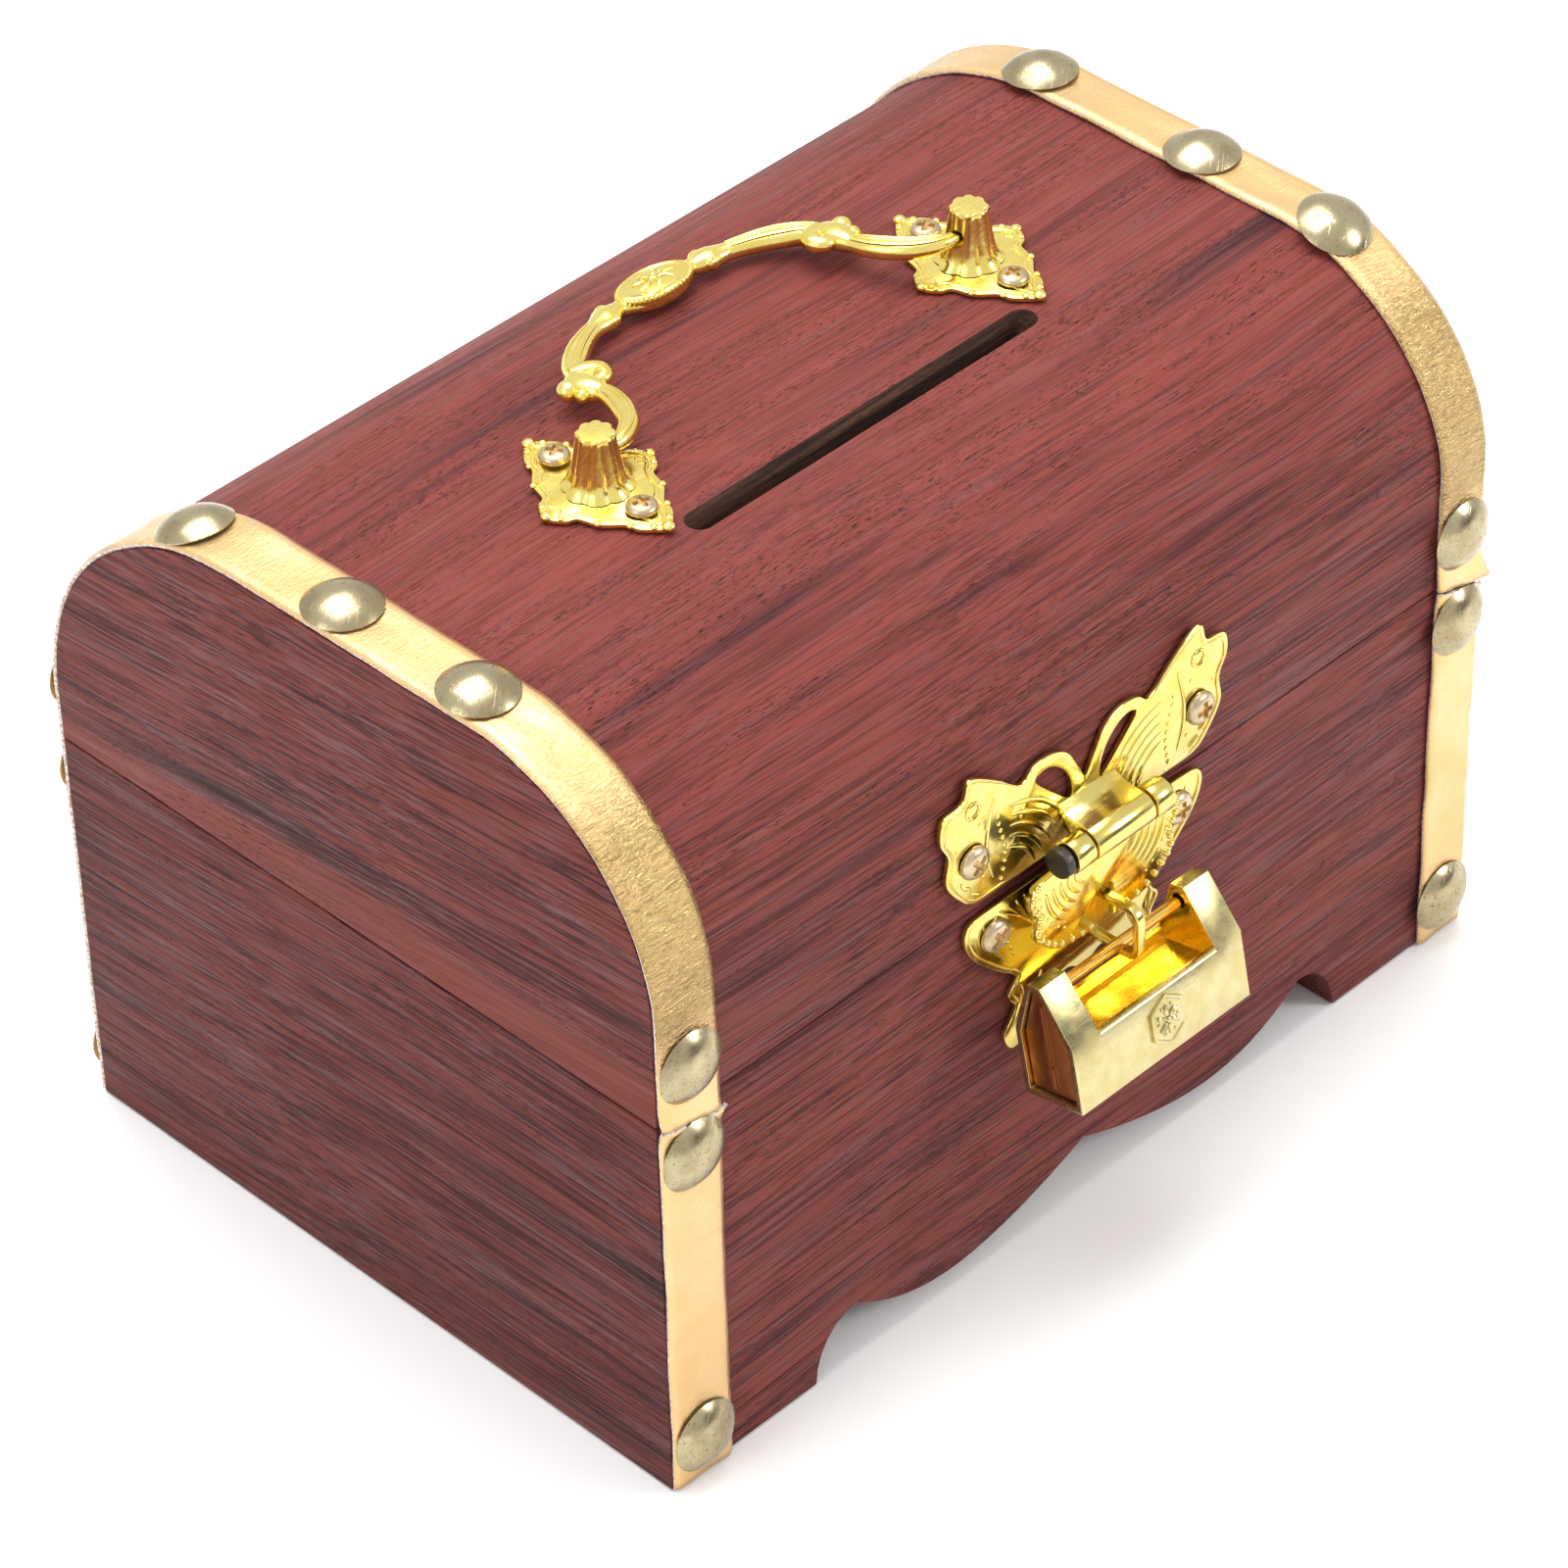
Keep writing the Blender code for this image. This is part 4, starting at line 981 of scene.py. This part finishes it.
# %% Cast the bail
HANDLE_LEAN = math.radians(-8.5)
bail_right = [(32.4, 0.0, 0.9, 0.9), (30.6, 0.0, 0.95, 0.95), (29.2, 0.15, 1.1, 1.1),
              (27.6, 0.9, 1.3, 1.25), (25.6, 2.6, 1.5, 1.35), (24.1, 5.0, 1.6, 1.4), (23.0, 7.8, 1.5, 1.35),
              (22.5, 10.2, 1.3, 1.25), (22.5, 11.6, 1.7, 1.5), (22.7, 13.2, 2.3, 1.7),
              (22.6, 14.9, 2.2, 1.65), (21.9, 16.2, 1.5, 1.4), (20.4, 18.2, 1.6, 1.45),
              (18.4, 19.9, 1.75, 1.45), (16.4, 21.2, 1.6, 1.4), (14.2, 22.3, 1.35, 1.3),
              (12.2, 23.1, 1.3, 1.25), (10.6, 23.6, 1.7, 1.35), (9.4, 23.9, 2.1, 1.5),
              (8.2, 24.1, 1.8, 1.45), (7.1, 24.2, 1.4, 1.25), (6.2, 24.3, 1.3, 1.2), (4.6, 24.3, 2.3, 1.1),
              (2.4, 24.3, 3.1, 1.15), (0.0, 24.3, 3.4, 1.2)]
bail_line = bail_right + [(-x, y, wide, tall) for x, y, wide, tall in bail_right[-2::-1]]
bm = bmesh.new()
raised_line(bm, [(x, y, 0, wide, tall) for x, y, wide, tall in curve_through(bail_line, 4)], sides=16)
for sign in (-1, 1):
    for x, y, size in ((24.7, 14.6, 1.55), (24.4, 12.2, 1.1), (8.5, 25.3, 1.15), (8.6, 22.9, 1.0)):
        bead(bm, (sign * x, y, 0.1), size, 0.95, 3)
    curl = [(22.3, 16.6, 0.6, 1.0, 0.9), (20.4, 15.9, 0.6, 1.3, 1.1), (19.3, 14.4, 0.5, 1.4, 1.2),
            (19.9, 12.9, 0.4, 1.2, 1.1), (21.3, 12.8, 0.4, 0.9, 0.9)]
    raised_line(bm, curve_through([(sign * x, *rest) for x, *rest in curl], 5), sides=12)
    for shift in (-0.55, 0.0, 0.55):
        for first, last in ((2, 7), (11, 16)):
            vein = []
            for i in range(first, last + 1):
                x, y, wide, tall = bail_right[i]
                before, after = bail_right[i - 1], bail_right[i + 1]
                along = Vector((after[0] - before[0], after[1] - before[1])).normalized()
                vein.append((sign * (x + along.y * shift * wide), y - along.x * shift * wide,
                             tall * (1 - shift * shift * 0.55) ** 0.5 - 0.05))
            raised_line(bm, curve_through(vein, 3), 0.42, 0.22, 6)

medallion = turned([(0, 1.72), (1.4, 1.66), (2.5, 1.45), (3.05, 1.30), (3.2, 1.42), (3.5, 1.45), (3.75, 1.2),
                    (3.8, 0.4), (3.7, -0.6), (3.2, -1.1), (0, -1.2)], 56)
for i in range(44):
    angle = math.tau * i / 44
    bead(medallion, (3.75 * math.cos(angle), 3.75 * math.sin(angle), 0.75), 0.3, 1.9, 1)
for i in range(7):
    angle = math.tau * i / 7
    petal = [(r * math.cos(angle + t), r * math.sin(angle + t), z)
             for r, t, z in ((0.55, 0, 1.72), (1.3, 0.25, 1.68), (2.3, 0, 1.45))]
    raised_line(medallion, curve_through(petal, 4), 0.6, 0.28, 6)
bead(medallion, (0, 0, 1.7), 0.5, 0.6)
bmesh.ops.transform(medallion, matrix=move((0, 24.3, 0)) @ Matrix.Diagonal((1.55, 0.92, 1, 1)),
                    verts=medallion.verts)
handle_place = move((0, HANDLE_Y, TOP + HANDLE_RISE * MM)) @ Matrix.Rotation(HANDLE_LEAN, 4, "X")
hand_over("handle_bail_cast", join(bm, medallion), (handle_brass,), "handle", ["handle_bail"],
          50, handle_place)

# %% [markdown]
# ## The butterfly latch
#
# The latch is pressed from sheet brass. The upper plate has two wings, two antenna loops and a tab that
# rolls round a pin. The lower plate has two more wings and two tails. The hasp hangs on the pin between them.
# All three are drawn from the front round one middle, in millimetres, with z standing out from the wood.

# %% Press the upper plate
LATCH_X = -0.0015
latch_place = move((LATCH_X, FRONT - AIR, PARTING)) @ UPRIGHT
PIN = (5.5, 5.7)
PLATE = 0.8
FACE = 0.78


def two_ways(points):
    """The same points on both wings."""
    return [[(x * sign, *rest) for x, *rest in points] for sign in (1, -1)]


def veins(bm, lines, width, height, closed=False):
    """Raised lines on both wings."""
    for line in lines:
        for way in two_ways(line):
            raised_line(bm, way, width, height, closed=closed)


def dots(bm, points, size, detail=1):
    """Beads on both wings."""
    for way in two_ways(points):
        for spot in way:
            bead(bm, spot, size, 0.8, detail)


def smooth(lines, steps, height=FACE):
    """Smooth curves through each line of flat points, at one height."""
    return [curve_through(at(height, *line), steps) for line in lines]


def barrel(bm, low, high, radius):
    """A round bar along X round the pin."""
    matrix = move(((low + high) / 2, *PIN)) @ ALONG_X
    bmesh.ops.create_cone(bm, cap_ends=True, segments=32, radius1=radius, radius2=radius,
                          depth=high - low, matrix=matrix)


def arc(x, y, radius, start, end, z, steps):
    """Points on an arc in the plate's plane, angles in degrees."""
    turns = [math.radians(start + (end - start) * i / steps) for i in range(steps + 1)]
    return [(x + radius * math.cos(a), y + radius * math.sin(a), z) for a in turns]


upper_half = [(0, 10.4), (1.6, 13.4), (3.6, 16.6), (6.4, 18.0), (9.6, 17.8), (12.0, 16.4), (16.4, 19.8),
              (21.2, 22.6), (22.6, 19.6), (26.0, 18.8), (26.6, 15.4), (25.2, 12.2), (25.6, 8.2), (23.4, 4.6),
              (20.6, 2.4), (15.0, 2.2), (8.0, 2.2), (0, 2.2)]
bm = bmesh.new()
sheet_metal(bm, mirrored(curve_through(upper_half)), 0, PLATE)
loop_hole = [(2.9, 8.9), (2.7, 11.0), (3.9, 13.8), (6.2, 15.9), (8.3, 16.3), (9.3, 15.2), (6.4, 12.0)]
loops = []
for sign in (-1, 1):
    hole = bmesh.new()
    sheet_metal(hole, [(sign * x, y) for x, y in curve_through(loop_hole, closed=True)], -1, 2)
    loops.append(hole)
bm = carve(bm, loops)
ease(bm, 0.16)
section = [(0.4, 7.2), (0.4, 9.1), (0.85, 9.0), (1.7, 8.45), (2.9, 8.1), (4.2, 7.95)]
section += [(PIN[1] + 2.4 * math.cos(a), PIN[0] + 2.4 * math.sin(a))
            for a in [math.radians(98 - 262 * i / 26) for i in range(27)]]
tab = bmesh.new()
sheet_metal(tab, section, -5.3, 5.3)
ease(tab, 0.22)
side_on = Matrix(((0, 0, 1, 0), (0, 1, 0, 0), (1, 0, 0, 0), (0, 0, 0, 1)))
bmesh.ops.transform(tab, matrix=side_on, verts=tab.verts)
bmesh.ops.reverse_faces(tab, faces=tab.faces)
join(bm, tab)
veins(bm, [arc(16.5, 1.0, 7.2 + 1.6 * n, 108 - 2 * n, 166 - 3 * n, FACE, 12) for n in range(5)],
      0.95, 0.34)
dots(bm, [(15.7 - 0.7 * math.sin(n * 0.55), 3.6 + 1.3 * n, FACE) for n in range(9)], 0.38)
veins(bm, smooth((((17.2, 4.6), (18.2, 8.0), (18.3, 12.0), (17.0, 17.4)),
                  ((21.4, 5.4), (22.4, 5.9), (23.0, 7.0)), ((19.6, 3.6), (20.6, 4.0), (21.3, 4.7))), 4),
      0.65, 0.32)
veins(bm, [arc(20.9, 17.6, 1.15, 0, 337.5, FACE, 15)], 0.55, 0.32, closed=True)
dots(bm, at(FACE, (19.0, 6.0), (23.6, 9.4), (23.8, 12.6), (19.6, 14.6)), 0.3)
rim = [(x * 0.955 + (0.5 if x > 8 else 0), y + (10.4 - y) * 0.055) for x, y in upper_half[5:16]]
veins(bm, smooth([rim], 4), 0.4, 0.2)
hand_over("latch_upper_plate_pressed", bm, (latch_brass,), "lid", ["latch_upper_plate"], 42,
          latch_place)

# %% Press the lower plate
lower_half = [(0, -0.4), (12.0, -0.4), (19.4, -0.5), (21.4, -1.0), (22.3, -2.6), (21.9, -5.0), (20.2, -7.8),
              (16.6, -11.4), (12.8, -14.8), (14.2, -17.4), (12.9, -20.2), (15.0, -23.8), (13.2, -26.6),
              (9.4, -24.6), (6.4, -20.6), (3.0, -19.4), (0, -21.6)]
bm = bmesh.new()
sheet_metal(bm, mirrored(curve_through(lower_half)), 0, PLATE)
ease(bm, 0.16)
veins(bm, smooth([((5.0 + 0.6 * n, -13.5 + 1.2 * n), (9.0 + n, -7.6 + 0.9 * n), (10.0 + 1.5 * n, -1.8))
                  for n in range(5)], 5), 0.8, 0.4)
dots(bm, [(13.4 + 0.55 * n, -10.4 + 1.3 * n, FACE) for n in range(7)], 0.36)
veins(bm, smooth((((15.2, -10.2), (17.6, -6.6), (19.0, -2.4)), ((12.6, -15.6), (11.8, -18.4), (13.2, -22.4)),
                  ((8.2, -16.4), (9.4, -19.6), (11.6, -23.6))), 3), 0.6, 0.3)
veins(bm, smooth([[(x - 0.7, y + 0.35) for x, y in lower_half[3:12]]], 4), 0.4, 0.22)
hand_over("latch_lower_plate_pressed", bm, (latch_brass,), "box", ["latch_lower_plate"], 42,
          latch_place)

# %% [markdown]
# ## Hasp, pin and staple
#
# The hasp is a leafy flap with a beaded edge. It hangs from the same pin as the tab, by a knuckle on each
# side, and a fork in its foot drops over the staple. The pin is a plain steel rivet, dark at its head. The
# staple is a loop of strip with a round nose, and its size is read from its solid.

# %% Press the hasp
hasp_half = [(5.6, 2.6), (5.7, 5.4), (9.0, 5.4), (9.2, 2.8), (13.2, 1.8), (13.8, -1.4), (12.6, -3.4),
             (13.0, -6.4), (11.2, -8.8), (8.4, -10.6), (4.4, -11.2), (1.61, -11.2)]
fork = [(1.6 * math.cos(a), -6.6 + 1.6 * math.sin(a)) for a in [math.radians(i * 15) for i in range(7)]]
edge = curve_through(hasp_half, 4)
bm = bmesh.new()
sheet_metal(bm, mirrored([(0, 2.3), (5.0, 2.3)] + edge + fork), 3.3, 4.3)
for low, high in ((-9.0, -5.75), (5.75, 9.0)):
    barrel(bm, low, high, 2.4)
ease(bm, 0.18)
dots(bm, [(x * 0.96, y * 0.96 + 0.1, 4.25) for x, y in edge[16:44:2]], 0.55, 2)
veins(bm, [arc(2.6, 0.6, 3.2 + 1.35 * n, -62 + n * 2, -4, 4.28, 9) for n in range(5)], 0.75, 0.38)
dots(bm, arc(2.6, 0.6, 9.6, -58, -4, 4.28, 12)[::2], 0.32)
hand_over("latch_hasp_pressed", bm, (latch_brass,), "hasp", ["latch_hasp"], 42, latch_place)

# %% Make the pin and the staple
bm = bmesh.new()
barrel(bm, -10.1, 10.2, 0.9)
barrel(bm, -10.8, -9.35, 2.12)
ease(bm, 0.2, 3)
hand_over("latch_pin_rivet", bm, (pin_steel,), "lid", ["latch_pin"], 45, latch_place)

low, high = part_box("latch_staple")
deep, tall, strip = (high[1] - low[1]) / MM, (high[2] - low[2]) / MM, 1.2


def staple_line(start, inset, radius):
    """The staple seen from its side, as (distance from the plate, height), with a round nose."""
    nose, foot, head = deep - inset - radius, inset + radius, tall - inset - radius
    quarter = [math.radians(90 * i / 6) for i in range(7)]
    line = [(nose + radius * math.sin(a), foot - radius * math.cos(a)) for a in quarter]
    line += [(nose + radius * math.cos(a), head + radius * math.sin(a)) for a in quarter]
    return [(start, inset)] + line + [(start, tall - inset)]


bm = bmesh.new()
sheet_metal(bm, staple_line(0, 0, 2.3), -0.7, 0.7)
eye = bmesh.new()
sheet_metal(eye, staple_line(strip, strip, 1.0), -2, 2)
bm = ease(carve(bm, [eye]), 0.22, 3)
staple_place = Matrix(((0, 0, -1, LATCH_X), (-1, 0, 0, high[1]), (0, 1, 0, low[2]), (0, 0, 0, 1)))
hand_over("latch_staple_loop", bm, (latch_brass,), "box", ["latch_staple"], 45, staple_place)

# %% [markdown]
# ## The bar padlock
#
# The padlock is an old-fashioned bar lock, house-shaped in section. Its roof is open in the middle, where
# the staple stands, and its bar crosses that gap. It hangs from the bar and leans out at the foot. The body
# is a copy of its solid with eased edges, and its hollow is painted a deeper yellow than the handled outside,
# a painted reflection of the brass that faces it.
# A six-sided boss with a plain rosette is raised on the front, and a thin lip follows the gap.

# %% Cast the padlock body
LOCK_TILT = math.radians(-11)
BOSS_X, BOSS_Y = 0.9, -10.35
lock_place = move((-0.0023, FRONT - 0.0080, 0.0496)) @ Matrix.Rotation(LOCK_TILT, 4, "X")
bm = ease(solid_copy("padlock_body"), 0.00025, 3, 30)
inverse = lock_place.inverted()
bm.normal_update()
# The hollow's faces get the second material, the painted reflection.
for face in bm.faces:
    spot = inverse @ face.calc_center_median() / MM
    within = abs(spot.x) < 10.8 or (abs(spot.x) < 11.6 and abs(face.normal.x) > 0.9)
    if within and abs(spot.y) < 5.0 and spot.z > -12:
        face.material_index = 1

front_face = move((0, -5.5, 0)) @ UPRIGHT
hexagon = [(0.9, -6.4), (3.9, -8.3), (3.9, -12.4), (0.9, -14.3), (-2.1, -12.4), (-2.1, -8.3)]
boss = bmesh.new()
top = sheet_metal(boss, hexagon, -0.1, 0.45)
bmesh.ops.inset_region(boss, faces=[top], thickness=0.5)
bmesh.ops.inset_region(boss, faces=[top], thickness=0.16, depth=-0.2)
ease(boss, 0.1, 2)
for i in range(6):
    angle = math.tau * i / 6 + math.pi / 6
    petal = [(BOSS_X + r * math.cos(angle + t), BOSS_Y + 1.15 * r * math.sin(angle + t), 0.26)
             for r, t in ((0.5, 0), (1.2, 0.22), (1.95, 0.05))]
    raised_line(boss, curve_through(petal, 4), 0.85, 0.4, 6)
    aside = angle + 0.55
    bead(boss, (BOSS_X + 1.75 * math.cos(aside), BOSS_Y + 2.2 * math.sin(aside), 0.26), 0.28, 1, 1)
bead(boss, (BOSS_X, BOSS_Y, 0.3), 0.5, 0.8)
for line in smooth((((-11.0, -5.75), (11.0, -5.75)), ((-11.05, -5.6), (-11.05, -5.75))), 8, 0.02):
    raised_line(boss, line, 0.4, 0.2, 6, taper=False)
for matrix in (front_face, lock_place @ Matrix.Scale(MM, 4)):
    bmesh.ops.transform(boss, matrix=matrix, verts=boss.verts)
hand_over("padlock_body_cast", join(bm, boss), (padlock_brass, hollow_painted_reflection), "padlock", ["padlock_body"],
          35)

# %% Make the bar and its end plate
bm = ease(solid_copy("padlock_bar"), 0.00012, 2, 30)
bm.normal_update()
# The end plate's faces get the second material, the painted reflection of the wood.
for face in bm.faces:
    spot = inverse @ face.calc_center_median()
    if spot.x < -0.0138 and abs(spot.y) < 0.006:
        face.material_index = 1
hand_over("padlock_bar_turned", bm, (bar_brass, end_painted_reflection), "padlock_bar", ["padlock_bar"],
          35)

# %% [markdown]
# ## Back hinges
#
# Two small butt hinges carry the lid at the back. Each leaf is eased from its solid, and two small screws
# hold it. The pin's ends are slightly domed.

# %% Make the hinges and their screws
for node in sorted(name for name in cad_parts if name.startswith("hinge_")):
    body = "lid" if "lid" in node else "box"
    hand_over(node + "_brass", ease(solid_copy(node), 0.00012, 2, 30), (hinge_brass,), body, [node],
              35)
number = 0
for side in ("left", "right"):
    for part, body, direction in (("lid", "lid", 1), ("box", "box", -1)):
        low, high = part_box(f"hinge_leaf_{part}_{side}")
        middle = (low[0] + high[0]) / 2
        for step, name in ((-1, "a"), (1, "b")):
            number += 1
            place = (move((middle + step * 0.0050, BACK + AIR + 0.0008, PARTING + direction * 0.0058))
                     @ Matrix.Rotation(-math.pi / 2, 4, "X") @ Matrix.Rotation(number * 0.9, 4, "Z")
                     @ Matrix.Diagonal((0.72, 0.72, 0.6, 1)))
            hand_over(f"hinge_screw_{part}_{side}_{name}", SCREW.copy(), (screw_brass, recess_painted_shade), body, [],
                      35, place)
